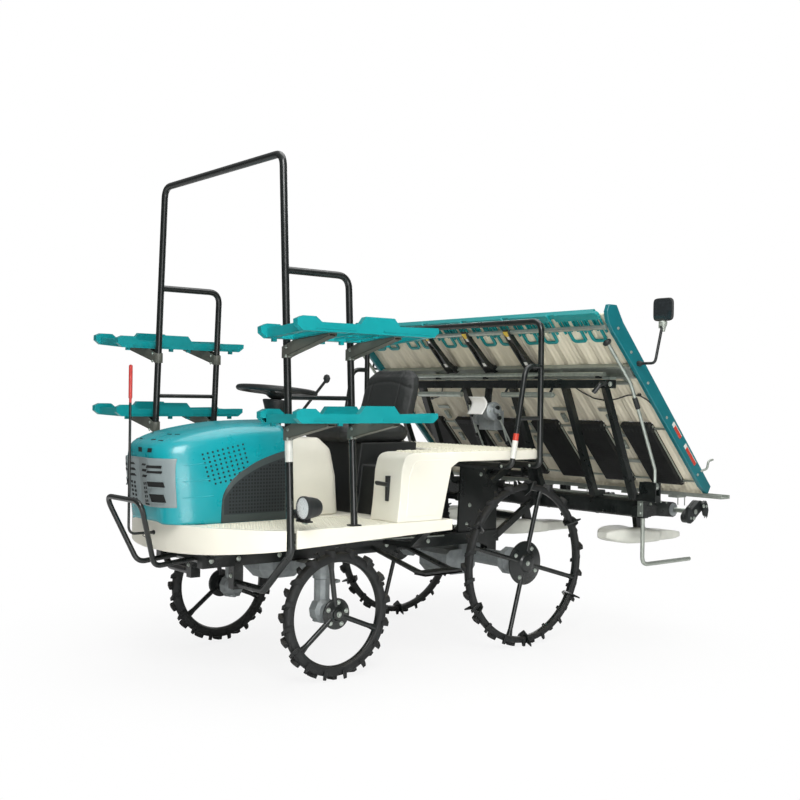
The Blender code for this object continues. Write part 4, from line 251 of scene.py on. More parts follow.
def evaluated(ob):
    bpy.context.view_layer.update()
    return bpy.data.meshes.new_from_object(ob.evaluated_get(bpy.context.evaluated_depsgraph_get()))


def carve(bm, tools):
    """Exact boolean difference of whole bmesh solids, done on scratch objects."""
    base, cutters = linked("carve_base", bm), [linked("carve_tool", tool) for tool in tools]
    for cutter in cutters:
        mod = base.modifiers.new("cut", "BOOLEAN")
        mod.operation, mod.solver, mod.object = "DIFFERENCE", "EXACT", cutter
    out = bmesh.new()
    out.from_mesh(evaluated(base))
    for ob in [base] + cutters:
        bpy.data.objects.remove(ob)
    return out


def merge(into, part, matrix):
    """Moves a bmesh by a matrix and adds it to another."""
    bmesh.ops.transform(part, matrix=matrix, verts=part.verts)
    bmesh.ops.recalc_face_normals(part, faces=part.faces)
    mesh = bpy.data.meshes.new("part")
    part.to_mesh(mesh)
    part.free()
    into.from_mesh(mesh)
    bpy.data.meshes.remove(mesh)


def drop(bm, test):
    """Deletes the points for which test(x, y, z) holds."""
    bmesh.ops.delete(bm, geom=[v for v in bm.verts if test(*v.co)], context="VERTS")


def refined(node, mat, bevel=0.002, segments=2, extra=None):
    """The node's own shape with soft edges and smooth rounds, standing for the node."""
    source = frame["nodes"][node]
    bm = bmesh.new()
    bm.from_mesh(source.data)
    bmesh.ops.remove_doubles(bm, verts=bm.verts, dist=WELD)
    bmesh.ops.dissolve_limit(bm, angle_limit=math.radians(0.6), verts=bm.verts, edges=bm.edges)
    bmesh.ops.translate(bm, verts=bm.verts, vec=(-SHIFT, 0, 0))
    if extra:
        extra(bm)
    piece("look_" + node, bm, mat, source["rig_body"], "", bevel, segments, stands=node)


# ---- materials ----
def feed(tree, node, inputs):
    """Links each input that is given as a socket and sets the others."""
    for key, value in inputs.items():
        if isinstance(value, bpy.types.NodeSocket):
            tree.links.new(value, node.inputs[key])
        else:
            node.inputs[key].default_value = value
    return node


def add(tree, kind, inputs=None, **settings):
    node = tree.nodes.new("ShaderNode" + kind)
    for key, value in settings.items():
        setattr(node, key, value)
    return feed(tree, node, inputs or {})


def blank(name, slot=""):
    mat = MATS[name] = bpy.data.materials.new(name)
    SLOTS[name] = slot
    mat.use_nodes = True
    return mat.node_tree


def srgb(text, gain=1.0):
    value = [int(text[k:k + 2], 16) / 255 for k in (1, 3, 5)]
    linear = [c / 12.92 if c <= 0.04045 else ((c + 0.055) / 1.055) ** 2.4 for c in value]
    return (*(min(c * gain, 1.0) for c in linear), 1.0)


WORN, DUST, DRIFT = srgb("#8A8C88"), srgb("#9A9384"), 0.06


def finish(name, slot, colour, rough=0.5, metal=0.0, coat=0.0, tint=0.10, tint_scale=6.0, bump=0.0,
           bump_scale=300.0, dust=0.0, wear=0.0, ribs=None, weave=None):
    """Principled material: colour drift, roughness drift, grain, dust from above and worn edges."""
    tree = blank(name, slot)
    place = add(tree, "TexCoord").outputs["Object"]

    def noise(scale, detail=4.0, share=0.55):
        return add(tree, "TexNoise", {"Scale": scale, "Detail": detail, "Roughness": share,
                                      "Vector": place}).outputs["Fac"]

    def ramp(source, low, high, a, b):
        return add(tree, "MapRange", {"Value": source, "From Min": low, "From Max": high, "To Min": a,
                                      "To Max": b}).outputs["Result"]

    def times(a, b):
        return add(tree, "Math", {0: a, 1: b}, operation="MULTIPLY").outputs["Value"]

    def mix(factor, a, b):
        return add(tree, "Mix", {"Factor": factor, "A": a, "B": b}, data_type="RGBA").outputs["Result"]

    tone = mix(ramp(noise(tint_scale, 5.0), 0.32, 0.68, 0.0, 1.0), srgb(colour, 1 - tint), srgb(colour, 1 + tint))
    if wear:
        edge = ramp(add(tree, "NewGeometry").outputs["Pointiness"], 0.515, 0.56, 0.0, 1.0)
        tone = mix(times(edge, ramp(noise(38.0), 0.50, 0.62, 0.0, wear)), tone, WORN)
    if dust:
        normal = add(tree, "NewGeometry").outputs["Normal"]
        up = ramp(add(tree, "SeparateXYZ", {"Vector": normal}).outputs["Z"], 0.2, 1.0, 0.0, dust)
        tone = mix(times(up, ramp(noise(22.0, 6.0, 0.65), 0.38, 0.66, 0.15, 1.0)), tone, DUST)
    gloss = ramp(noise(11.0, 6.0), 0.3, 0.7, max(rough - DRIFT, 0.03), min(rough + DRIFT, 1.0))
    shader = feed(tree, tree.nodes["Principled BSDF"], {
        "Metallic": metal, "Coat Weight": coat, "Coat Roughness": 0.12, "Base Color": tone, "Roughness": gloss})
    height, depth = None, bump
    if ribs:
        axis, pitch, depth = ribs
        along = add(tree, "SeparateXYZ", {"Vector": place}).outputs[axis]
        height = add(tree, "Math", {0: times(along, TAU / pitch)}, operation="SINE").outputs["Value"]
    elif weave:
        height = add(tree, "TexVoronoi", {"Scale": weave, "Vector": place}).outputs["Distance"]
    elif bump:
        height = noise(bump_scale, 3.0)
    if height is not None:
        relief = add(tree, "Bump", {"Strength": 1.0, "Distance": depth * 0.001, "Height": height})
        feed(tree, shader, {"Normal": relief.outputs["Normal"]})


finish("bonnet_teal", "teal_paint", "#02929B", 0.30, coat=0.35, tint=0.04, tint_scale=2.5, bump=0.02, bump_scale=420)
finish("tray_teal", "teal_plastic", "#068C90", 0.34, coat=0.15, tint=0.08, bump=0.10, bump_scale=900, dust=0.12)
finish("comb_teal", "teal_plastic", "#08898A", 0.36, tint=0.08, bump=0.08, bump_scale=900)
finish("rail_teal", "dark_teal_paint", "#076A72", 0.34, coat=0.25, tint=0.07, bump=0.04, bump_scale=500)
finish("cream", "cream_plastic", "#EBE8D9", 0.42, tint=0.035, tint_scale=4, bump=0.12, bump_scale=1100, dust=0.10)
finish("cream_top", "cream_plastic", "#DCD9C4", 0.52, tint=0.05, tint_scale=9, bump=0.25, bump_scale=800, dust=0.22)
finish("plate_cream", "cream_plastic", "#E3DCC6", 0.46, tint=0.07, tint_scale=3, ribs=("Y", 0.0270, 1.0), dust=0.06)
finish("black_paint", "black_paint", "#101514", 0.30, coat=0.25, tint=0.15, bump=0.015, bump_scale=600, wear=0.03,
       dust=0.03)
finish("black_plastic", "black_plastic", "#1B1E1E", 0.50, tint=0.15, bump=0.16, bump_scale=1400, dust=0.05)
finish("panel_grey", "black_plastic", "#353F3E", 0.55, tint=0.08, bump=0.12, bump_scale=1200)
finish("panel_field", "black_plastic", "#20282A", 0.62, bump=0.10, bump_scale=1000)
finish("mask_grey", "black_plastic", "#7E898A", 0.40, tint=0.06, bump=0.06, bump_scale=900)
finish("bracket_grey", "black_paint", "#55574F", 0.46, tint=0.12, bump=0.12, bump_scale=900)
# dark matte tiles for holes, pits and slots: painted shade standing in for the openings
finish("painted_hole_shade", "black_plastic", "#0B0E0E", 0.80, tint=0.2)
finish("tyre", "wheel_rubber", "#191B1B", 0.62, tint=0.22, tint_scale=20, bump=0.25, bump_scale=500, dust=0.10)
finish("belt", "belt_rubber", "#0F1111", 0.66, tint=0.2, tint_scale=25, bump=0.10, bump_scale=700)
finish("casting", "grey_casting", "#8C9293", 0.48, metal=0.35, tint=0.16, tint_scale=30, bump=0.6, bump_scale=260,
       dust=0.12)
finish("rotor_dark", "grey_casting", "#2B2F2F", 0.42, metal=0.3, tint=0.2, tint_scale=30, bump=0.4, bump_scale=260,
       dust=0.08)
finish("zinc", "zinc_plate", "#B4BCB4", 0.34, metal=0.85, tint=0.14, tint_scale=35, bump=0.08, bump_scale=300)
finish("dull_zinc", "zinc_plate", "#A3A9A1", 0.44, metal=0.6, tint=0.12, tint_scale=30, bump=0.08, bump_scale=400)
finish("bright_rod", "bright_rod", "#D8DAD8", 0.14, metal=1.0, tint=0.04)
finish("float_grey", "float_plastic", "#D5D6CC", 0.46, tint=0.08, tint_scale=12, bump=0.15, bump_scale=500, dust=0.18)
finish("seat_vinyl", "seat_vinyl", "#232625", 0.52, tint=0.12, weave=900, bump=0.35)
finish("red", "red_plastic", "#B8352F", 0.30, coat=0.3, tint=0.06)
finish("reflector_red", "black_plastic", "#C2402F", 0.22, coat=0.6, tint=0.08, weave=500, bump=0.25)
finish("reflector_white", "black_plastic", "#DADAD2", 0.22, coat=0.6, tint=0.05, weave=500, bump=0.25)
finish("tab_yellow", "black_plastic", "#D9B93A", 0.4, tint=0.06)
finish("white_plastic", "black_plastic", "#E6E6E2", 0.40, tint=0.04, bump=0.06, bump_scale=700)
finish("lamp_chrome", "bright_rod", "#F4F6F5", 0.30, metal=0.55, tint=0.03)
finish("mirror_glass", "dark_teal_paint", "#23282A", 0.08, coat=0.6, tint=0.05)


def glass():
    tree = blank("lens", "bright_rod")
    cell = add(tree, "TexVoronoi", {"Scale": 160.0, "Vector": add(tree, "TexCoord").outputs["Object"]})
    bump = add(tree, "Bump", {"Distance": 0.0006, "Height": cell.outputs["Distance"]})
    feed(tree, tree.nodes["Principled BSDF"], {"Base Color": (0.92, 0.95, 0.95, 1), "Roughness": 0.06, "Alpha": 0.22,
                                               "Coat Weight": 1.0, "Normal": bump.outputs["Normal"]})


glass()


# ---- camera, light and floor ----
CAMERA_PLACE = P(4.0965 + SHIFT, 4.5039, 1.2547)
YAW, PITCH, ROLL = math.radians(50.781), math.radians(-0.040), math.radians(0.791)
LENS_PIXELS, PICTURE = 1107.28, 800
LOOK = P(-math.cos(YAW) * math.cos(PITCH), -math.sin(YAW) * math.cos(PITCH), math.sin(PITCH))
RIGHT = LOOK.cross(P(0, 0, 1)).normalized()
ABOVE = RIGHT.cross(LOOK)
RIGHT, ABOVE = RIGHT * math.cos(ROLL) + ABOVE * math.sin(ROLL), ABOVE * math.cos(ROLL) - RIGHT * math.sin(ROLL)
# Name, place, target, size and power.
LIGHTS = (("key", (3.2, 4.6, 4.8), (0.2, 0, 0.7), 2.6, 265), ("fill", (3.4, 6.0, 1.6), (0, 0, 0.8), 3.5, 70),
          ("top", (-0.6, 0.5, 6.0), (-0.2, 0, 0.8), 4.5, 170), ("bounce", (2.2, 3.8, 0.35), (-0.5, 0.2, 1.3), 2.0, 42),
          ("rim", (-5.0, -3.5, 3.2), (0, 0, 0.9), 3.0, 95))


def camera():
    data = bpy.data.cameras.new("camera")
    data.sensor_width, data.lens = 36.0, 36.0 * LENS_PIXELS / PICTURE
    data.clip_start, data.clip_end = 0.05, 100
    ob = bpy.data.objects.new("camera", data)
    ob.matrix_world = Matrix([(RIGHT[k], ABOVE[k], -LOOK[k], CAMERA_PLACE[k]) for k in range(3)] + [(0, 0, 0, 1)])
    bpy.context.scene.collection.objects.link(ob)
    bpy.context.scene.camera = ob


def ray(u, v):
    """Direction of the line of sight through a place in the 800 by 800 picture."""
    return (LOOK * LENS_PIXELS + RIGHT * (u - PICTURE / 2) - ABOVE * (v - PICTURE / 2)).normalized()


def area(name, place, target, size, power):
    data = bpy.data.lights.new(name, "AREA")
    data.shape, data.size, data.energy = "SQUARE", size, power
    ob = bpy.data.objects.new(name, data)
    ob.location = place
    ob.rotation_euler = (Vector(target) - Vector(place)).to_track_quat("-Z", "Y").to_euler()
    bpy.context.scene.collection.objects.link(ob)


def studio():
    scene = bpy.context.scene
    scene.view_settings.view_transform, scene.view_settings.look = "Standard", "None"
    scene.render.film_transparent = False
    scene.cycles.max_bounces = 8
    scene.cycles.use_denoising = True
    scene.world = bpy.data.worlds.new("studio")
    scene.world.use_nodes = True
    tree = scene.world.node_tree
    tree.nodes.clear()
    parts = add(tree, "SeparateXYZ", {"Vector": add(tree, "TexCoord").outputs["Generated"]})
    grade = add(tree, "ValToRGB", {"Fac": parts.outputs["Z"]})
    for stop, level in zip(grade.color_ramp.elements, (0.18, 1.0)):
        stop.color = (level, level, level, 1)
    lit = add(tree, "Background", {"Color": grade.outputs["Color"], "Strength": 0.50})
    seen = add(tree, "Background", {"Color": WHITE, "Strength": 1.0})
    blend = add(tree, "MixShader", {"Fac": add(tree, "LightPath").outputs["Is Camera Ray"],
                                    1: lit.outputs["Background"], 2: seen.outputs["Background"]})
    add(tree, "OutputWorld", {"Surface": blend.outputs["Shader"]})
    for row in LIGHTS:
        area(*row)


def floor():
    """Pale floor that melts into the white backdrop away from the machine and keeps the shadow beneath it."""
    tree = blank("floor")
    ground = feed(tree, tree.nodes["Principled BSDF"], {"Base Color": (0.86, 0.86, 0.85, 1), "Roughness": 0.75})
    glow = add(tree, "Emission", {"Color": WHITE, "Strength": 1.0})
    away = add(tree, "VectorMath", {0: add(tree, "TexCoord").outputs["Object"]}, operation="LENGTH")
    fade = add(tree, "MapRange", {"Value": away.outputs["Value"], "From Min": 1.0, "From Max": 2.4, "To Min": 0.86,
                                  "To Max": 1.0}, interpolation_type="SMOOTHSTEP")
    share = add(tree, "Math", {0: add(tree, "LightPath").outputs["Is Camera Ray"], 1: fade.outputs["Result"]},
                operation="MULTIPLY")
    both = add(tree, "MixShader", {"Fac": share.outputs["Value"], 1: ground.outputs["BSDF"],
                                   2: glow.outputs["Emission"]})
    feed(tree, tree.nodes["Material Output"], {"Surface": both.outputs["Shader"]})
    bm = bmesh.new()
    box(bm, (-14, -14, -0.012), (14, 14, -0.0015))
    piece("floor", bm, "floor", None, place=False)


camera()
studio()
floor()


# ---- wheels ----
# Share across the tread, turn, drop at foot and top, and size of each section of a lug.
LUG = ((-0.06, 0.0, 0.010, 0.0, 1.05), (0.30, 0.006, 0.010, 0.0, 1.0), (0.80, 0.018, 0.012, 0.001, 1.0),
       (1.0, 0.022, 0.024, 0.006, 0.9), (1.04, 0.023, 0.030, 0.016, 0.75))
# Shares of the hub's radius and of its half thickness.
HUB = ((0.50, -1.58), (0.56, -1.5), (0.60, -0.5), (0.97, -0.34), (1, -0.22), (1, 0.30), (0.97, 0.40), (0.58, 0.46),
       (0.50, 0.62), (0.42, 0.72), (0.36, 1.20), (0.30, 1.30), (0.0, 1.30))
HUB_HALF = 0.018
PADDLE = ((0, 1), (0.42, 0.80), (0.90, 0.96), (1, 1.0), (0.96, 0.86), (0.60, 0.33), (0, 0), (-0.60, 0.33),
          (-0.96, 0.86), (-1, 1.0), (-0.90, 0.96), (-0.42, 0.80))


def wheel(node, x, y, radius, rim, lugs, spokes, phase, hub, paddles):
    side = 1 if y > 0 else -1
    axis = (0, side, 0)
    tread = radius - 0.017
    mid, deep = (rim + tread) / 2, (tread - rim) / 2

    def at(r, angle, across):
        return P(x + math.cos(angle) * r, y + across, radius + math.sin(angle) * r)

    bm = bmesh.new()
    hoop(bm, [[at(mid + deep * squared(c, 0.75), TAU * k / 144, 0.023 * squared(s, 0.8)) for c, s in circle(14)]
              for k in range(144)])
    for k in range(lugs):
        rows = []
        for share, skew, low, high, size in LUG:
            base, top = 0.0125 * size, 0.0085 * size
            corners = (tread - low, -base), (radius - high, -top), (radius - high, top), (tread - low, base)
            rows.append([at(r, TAU * k / lugs + (skew + turn) / radius, (1 if k % 2 else -1) * 0.0285 * share)
                         for r, turn in corners])
        skin(bm, rows)
    piece(node + "_tyre", bm, "tyre", node, bevel=0.0016, smooth=40, stands=node)
    bm = bmesh.new()
    turned(bm, [(hub * r, HUB_HALF * h) for r, h in HUB], (x, y, radius), axis, 48)
    for k in range(spokes):
        angle = -TAU * (k + phase) / spokes
        sweep(bm, [at(r, angle, 0) for r in (hub * 0.45, rim * 0.6, rim - 0.012)], 0.0118, 18)
        sweep(bm, [at(rim - 0.030, angle, 0), at(rim + 0.008, angle, 0)], 0.012, 18, tip=0.017)
    ring = [[at(rim + 0.0035 + 0.0045 * c, TAU * k / 96, 0.011 * s) for c, s in circle(8)] for k in range(96)]
    skin(bm, ring + [ring[0]], caps=False)
    for k in range(paddles):
        angle = TAU * (k + 0.5) / paddles
        outline = [(a * 0.056, radius - 0.004 - 0.075 * (1 - b)) for a, b in PADDLE]
        skin(bm, [[at(r, angle + t / r, across) for across, r in outline] for t in (-0.004, 0.004)])
    piece(node + "_centre", bm, "black_paint", node, bevel=0.001, smooth=35)
    bm = bmesh.new()
    nuts = 4 if paddles else 5
    for k in range(nuts):
        bolt(bm, at(hub * 0.74, TAU * (k + 0.35) / nuts, side * 0.42 * HUB_HALF), axis, 0.0078)
    bolt(bm, P(x, y + side * 1.30 * HUB_HALF, radius), axis, 0.009)
    piece(node + "_bolts", bm, "zinc", node, bevel=0.0005)


for name, side in FLANKS:
    wheel("wheel_front_" + name, 1.185, side * 0.506, 0.294, 0.230, 32, 3, 0.317, 0.070, 0)
    wheel("wheel_rear_" + name, 0.0, side * 0.513, 0.424, 0.374, 36, 4, 0.820, 0.112, 6)


# ---- bonnet ----
# Share of the length, height, width and lift of each cross section, and half of one section.
STATIONS = ((0.00, 1.000, 1.00, 0.00), (0.35, 0.985, 1.00, 0.00), (0.62, 0.935, 0.97, 0.00),
            (0.80, 0.880, 0.91, 0.00), (0.92, 0.825, 0.78, 0.00), (0.98, 0.780, 0.60, 0.00),
            (1.00, 0.740, 0.44, 0.02))
SECTION = ((1.0, 0.0), (1.0, 0.28), (1.0, 0.55), (0.97, 0.74), (0.86, 0.90), (0.62, 0.975), (0.0, 1.0))
BONNET_FOOT, BONNET_BACK, BONNET_LONG, BONNET_HIGH, BONNET_HALF = 0.6985, 1.285, 0.615, 0.4515, 0.25
NOSE_AHEAD = 2.6  # a place ahead of the nose, where sight lines start
# Picture corners of the field of square holes, and the vents of the nose as (u, v, width, height).
HOLE_FIELD = ((201, 452), (243, 443), (249.5, 464), (226, 488), (207, 483))
VENTS = [(140.2, 449.4, 0.034, 0.020), (149.6, 450.3, 0.030, 0.018), (153.5, 439.5, 0.030, 0.008),
         (160.8, 440.4, 0.026, 0.008), (169.5, 434.2, 0.030, 0.008), (177.5, 434.4, 0.026, 0.008)]
PANEL_TOP = ((1.292, 1.012), (1.32, 1.006), (1.38, 0.990), (1.441, 0.969), (1.50, 0.940), (1.556, 0.904),
             (1.595, 0.862), (1.618, 0.818), (1.624, 0.765), (1.626, 0.7050))
# Place across and up, width, height and lean of each opening in the mask.
MASK_SLOTS = [(y, z + k * 0.019, 0.013, 0.011, 0.0) for k in range(5) for y, z in ((0.046, 0.795), (0.068, 0.797))] + [
    (0.060, 0.905, 0.052, 0.011, 0.006), (0.060, 0.930, 0.050, 0.011, 0.006), (0.060, 0.955, 0.046, 0.009, 0.006),
    (0.060, 0.782, 0.050, 0.008, 0.0), (0.136, 0.948, 0.070, 0.012, 0.002), (0.136, 0.925, 0.072, 0.010, 0.002),
    (0.138, 0.872, 0.074, 0.022, -0.004), (0.140, 0.812, 0.066, 0.034, -0.006)]
UP = P(0, 0, 1)


def spline(rows, t):
    """Catmull-Rom through rows of equal length, t from 0 to the last index."""
    k = min(int(t), len(rows) - 2)
    f = t - k
    p0, p1, p2, p3 = rows[max(k - 1, 0)], rows[k], rows[k + 1], rows[min(k + 2, len(rows) - 1)]
    return tuple(0.5 * (2 * b + (c - a) * f + (2 * a - 5 * b + 4 * c - d) * f * f
                        + (3 * b - a - 3 * c + d) * f ** 3) for a, b, c, d in zip(p0, p1, p2, p3))


def dense_spline(rows, per):
    return [spline(rows, i / per) for i in range((len(rows) - 1) * per + 1)]


def bonnet_rings():
    rings = []
    for along, tall, wide, lift in dense_spline(STATIONS, 7):
        x = BONNET_BACK + BONNET_LONG * min(along, 1.0)
        rise = BONNET_HIGH * max(lift, 0)
        ring = []
        for a, b in dense_spline(SECTION, 6):
            lean = 0.045 * along ** 4 * max(0.0, 0.8 - b)
            ring.append(P(x - lean, max(BONNET_HALF * wide * a, 0),
                          BONNET_FOOT + rise + (BONNET_HIGH * tall - rise) * clamp(b, 0, 1)))
        rings.append(ring + [P(p.x, -p.y, p.z) for p in reversed(ring[:-1])])
    return rings


def tree_of(ob):
    return BVHTree.FromObject(ob, bpy.context.evaluated_depsgraph_get())


def hit(tree, start, direction):
    """Place and outward direction where a line from start meets a surface."""
    place, normal, _, _ = tree.ray_cast(start, direction)
    if place is None:
        return None, None
    return place - P(SHIFT, 0, 0), -normal if normal.dot(direction) > 0 else normal


def tile(bm, place, normal, wide, tall, proud=0.0006, skew=0.0):
    """Small flat plate that lies on a surface, upright."""
    across = UP.cross(normal).normalized()
    rise = normal.cross(across).normalized()
    skin(bm, [[place + across * (a * wide / 2 + b * skew) + rise * b * tall / 2 + normal * out
               for a, b in ((-1, -1), (1, -1), (1, 1), (-1, 1))] for out in (-0.004, proud)])


def flank(x):
    """Half width of the bonnet at a place along it."""
    wide = between([(along, wide) for along, _, wide, _ in STATIONS], (x - BONNET_BACK) / BONNET_LONG)
    return BONNET_HALF * (1.0 if wide is None else wide)


def in_field(u, v):
    """True inside the field of holes in the picture."""
    inside = False
    for (x0, y0), (x1, y1) in zip(HOLE_FIELD, HOLE_FIELD[1:] + HOLE_FIELD[:1]):
        if (y0 > v) != (y1 > v) and u < (x1 - x0) * (v - y0) / (y1 - y0) + x0:
            inside = not inside
    return inside


def bonnet_shade_tiles(tree):
    """Dark tiles for the square holes on each cheek and for the vents at the nose with the slots behind them: painted
    shade that stands in for the openings.
    """
    holes = bmesh.new()
    spots = [(202.6 + column * 5.05 + row * 1.15, 454.5 - column * 1.25 + row * 4.35, 0.0085, 0.0085)
             for row in range(8) for column in range(9)]
    for u, v, wide, tall in [spot for spot in spots if in_field(*spot[:2])] + VENTS:
        place, normal = hit(tree, CAMERA_PLACE, ray(u, v))
        if place is None:
            continue
        # dark tile: painted shade standing in for a hole or vent
        tile(holes, place, normal, wide, tall)
        if place.y > 0.03:
            tile(holes, P(place.x, -place.y, place.z), P(normal.x, -normal.y, normal.z), wide, tall)
    piece("bonnet_shade_tiles", holes, "painted_hole_shade")


def bonnet_panels():
    """Louvre panels low on the flanks: frame, sunk field and its rows of dark tiles, painted shade that stands in for
    pits.
    """
    dense = dense_spline(PANEL_TOP[:-1], 4)
    proud, pitch = 0.0045, 0.0155
    for name, side in FLANKS:
        panel, field, pits = fresh(3)
        rows = []
        for x, z in dense + [PANEL_TOP[-1]]:
            y, z = flank(x), max(z, 0.706)
            rows.append([P(x, side * (y + out), high) for out, high in (
                (-0.004, 0.700), (proud - 0.0015, 0.700), (proud, 0.704), (proud, max(z - 0.004, 0.705)),
                (proud - 0.002, z), (-0.004, z))])
        skin(panel, rows)
        rows = []
        for x, z in dense[2:-5]:
            y = flank(x) + 0.0050
            rows.append([P(x, side * (y + out), high) for out, high in (
                (-0.004, 0.735), (0, 0.736), (0, max(z - 0.030, 0.742)), (-0.004, max(z - 0.028, 0.744)))])
        skin(field, rows)
        # rows of dark tiles, painted shade standing in for pits
        for x in [1.305 + i * pitch for i in range(20)]:
            limit = between(dense, x)
            for z in [0.746 + j * pitch for j in range(20)]:
                if limit is not None and z <= limit - 0.038 and x <= 1.590:
                    tile(pits, P(x, side * (flank(x) + 0.0050), z), P(0, side, 0), 0.0085, 0.0085, 0.0004)
        piece("bonnet_panel_" + name, panel, "panel_grey", smooth=40)
        piece("bonnet_mesh_" + name, field, "panel_field", smooth=40)
        piece("bonnet_pit_shade_" + name, pits, "painted_hole_shade")


def bonnet_mask(tree):
    """Grey mask round the nose, with dark tiles in its openings, painted shade that stands in for them, and the lips of
    the openings.
    """
    wide, low, high, columns, rows = 0.206, 0.772, 0.985, 48, 20
    grid = []
    for i in range(columns + 1):
        y = -wide + 2 * wide * i / columns
        out = 0.004 + 0.011 * max(0.0, 1 - abs(abs(y) - 0.088) / 0.088)
        grid.append([hit(tree, P(NOSE_AHEAD + SHIFT, y, low + (high - low) * j / rows), P(-1, 0, 0))[0]
                     + P(out, 0, 0) for j in range(rows + 1)])
    mask, gaps, lips = fresh(3)
    skin(mask, [line[::-1] for line in grid], loop=False)
    cover = piece("bonnet_mask", mask, "mask_grey", smooth=50, wall=0.008)
    mod = cover.modifiers.new("edges", "BEVEL")
    mod.width, mod.segments, mod.limit_method, mod.angle_limit = 0.002, 2, "ANGLE", math.radians(50)
    mask_tree = tree_of(cover)
    for y, z, across, tall, skew in MASK_SLOTS:
        for side in (1, -1):
            place, normal = hit(mask_tree, P(NOSE_AHEAD + SHIFT, side * y, z), P(-1, 0, 0))
            if place is None:
                continue
            across_here = across / max(normal.x, 0.5)
            # dark tile in each opening, painted shade standing in for the slot
            tile(gaps, place, normal, across_here, tall, 0.0007, side * skew)
            for rise in (tall * 0.5 + 0.003, -tall * 0.5 - 0.003) if tall > 0.02 else ():
                tile(lips, place + UP * rise, normal, across_here * 1.04, 0.0045, 0.0035, side * skew * 0.2)
    piece("bonnet_mask_slot_shade", gaps, "painted_hole_shade")
    piece("bonnet_mask_lips", lips, "mask_grey", bevel=0.001)


def bonnet():
    bm, beads = fresh(2)
    rows = skin(bm, bonnet_rings(), loop=False)
    bm.faces.new(rows[-1])
    tree = tree_of(piece("bonnet_shell", bm, "bonnet_teal", smooth=50, stands="bonnet", wall=0.006))
    bonnet_shade_tiles(tree)
    bonnet_panels()
    bonnet_mask(tree)
    # raised beads that run back from the mask over each cheek
    for side in (1, -1):
        for z0, z1, x0, x1 in ((0.955, 0.965, 1.80, 1.70), (0.885, 0.893, 1.80, 1.68), (0.815, 0.821, 1.80, 1.66)):
            path = []
            for t in [k / 8 for k in range(9)]:
                start = P(x0 + (x1 - x0) * t + SHIFT, side * 0.6, z0 + (z1 - z0) * t)
                place, _ = hit(tree, start, P(0, -side, 0))
                if place is not None:
                    path.append(place - P(0, side * 0.0008, 0))
            if len(path) > 2:
                sweep(beads, path, 0.0022, 8)
    piece("bonnet_beads", beads, "bonnet_teal", smooth=60)


bonnet()


# ---- decks ----
DECK_TOP, DECK_HALF, REAR_TOP, REAR_HALF = 0.698, 0.626, 1.010, 0.632


def arc(a, b, c, steps):
    a, b, c = Vector(a), Vector(b), Vector(c)
    return [tuple(a.lerp(b, k / steps).lerp(b.lerp(c, k / steps), k / steps)) for k in range(steps + 1)]


def bow(inset, steps=16):
    """Outline of the step deck, drawn in by inset."""
    half, nose = 0.652 - inset, 0.390 - inset
    front, shoulder, rear = 1.822 - inset, 1.500, 0.626 + inset
    run = front - shoulder
    waist = (shoulder + run * 0.75, nose)
    side = [(rear, half)] + arc((shoulder, half), (shoulder + run * 0.33, half * 0.95), waist, steps)
    side += arc(waist, (shoulder + run * 0.94, nose * 0.69), (front, nose * 0.25), steps)[1:]
    return side + [(x, -y) for x, y in reversed(side)]


def staggered(start, step_x, step_y, columns, half):
    """Stud places in rows that are set half a step apart."""
    return [(start + i * step_x, (j + (i % 2) / 2) * step_y) for i in range(columns) for j in range(-half, half + 1)]


def knobs(bm, spots, z, size, tall):
    for x, y in spots:
        skin(bm, [[P(x + c * r, y + s * r, z + h) for c, s in circle(8)]
                  for r, h in ((size * 1.15, -0.001), (size, tall * 0.45), (size * 0.62, tall))])


def step_deck():
    bm, pocket, hatch, under, left, right, studs = fresh(7)
    prism(bm, bow(0), "Z", 0.573, DECK_TOP)
    prism(pocket, bow(0.012), "Z", 0.569, 0.686)
    box(hatch, (1.240, -0.240, 0.569), (1.745, 0.240, 0.702))
    prism(under, [(0.622, 0.569), (1.826, 0.569), (1.822, 0.573), (1.500, 0.620), (0.626, 0.648), (0.622, 0.648)],
          "Y", -0.656, 0.656)
    for notch, side in ((left, 1), (right, -1)):
        box(notch, (1.4965, side * 0.6097, 0.569), (1.5375, side * 0.656, 0.702))
    bm = carve(bm, [pocket, hatch, under, left, right])
    piece("step_deck_moulding", bm, "cream", bevel=0.0065, segments=3, smooth=30, stands="step_deck")
    edge = bow(0.026)
    edge = edge[:len(edge) // 2]

    def clear(x, y):
        """On the deck, off the hatch and off the rack's posts."""
        limit = DECK_HALF if x < 1.50 else between(edge, x)
        return (0.268 <= abs(y) < DECK_HALF and x < 1.79 and limit is not None and abs(y) < limit
                and not (abs(abs(y) - 0.63) < 0.05 and 1.47 < x < 1.56))
    knobs(studs, [p for p in staggered(0.97, 0.0208, 0.0236, 50, 30) if clear(*p)], DECK_TOP, 0.0056, 0.0026)
    piece("step_deck_studs", studs, "cream_top", smooth=50)


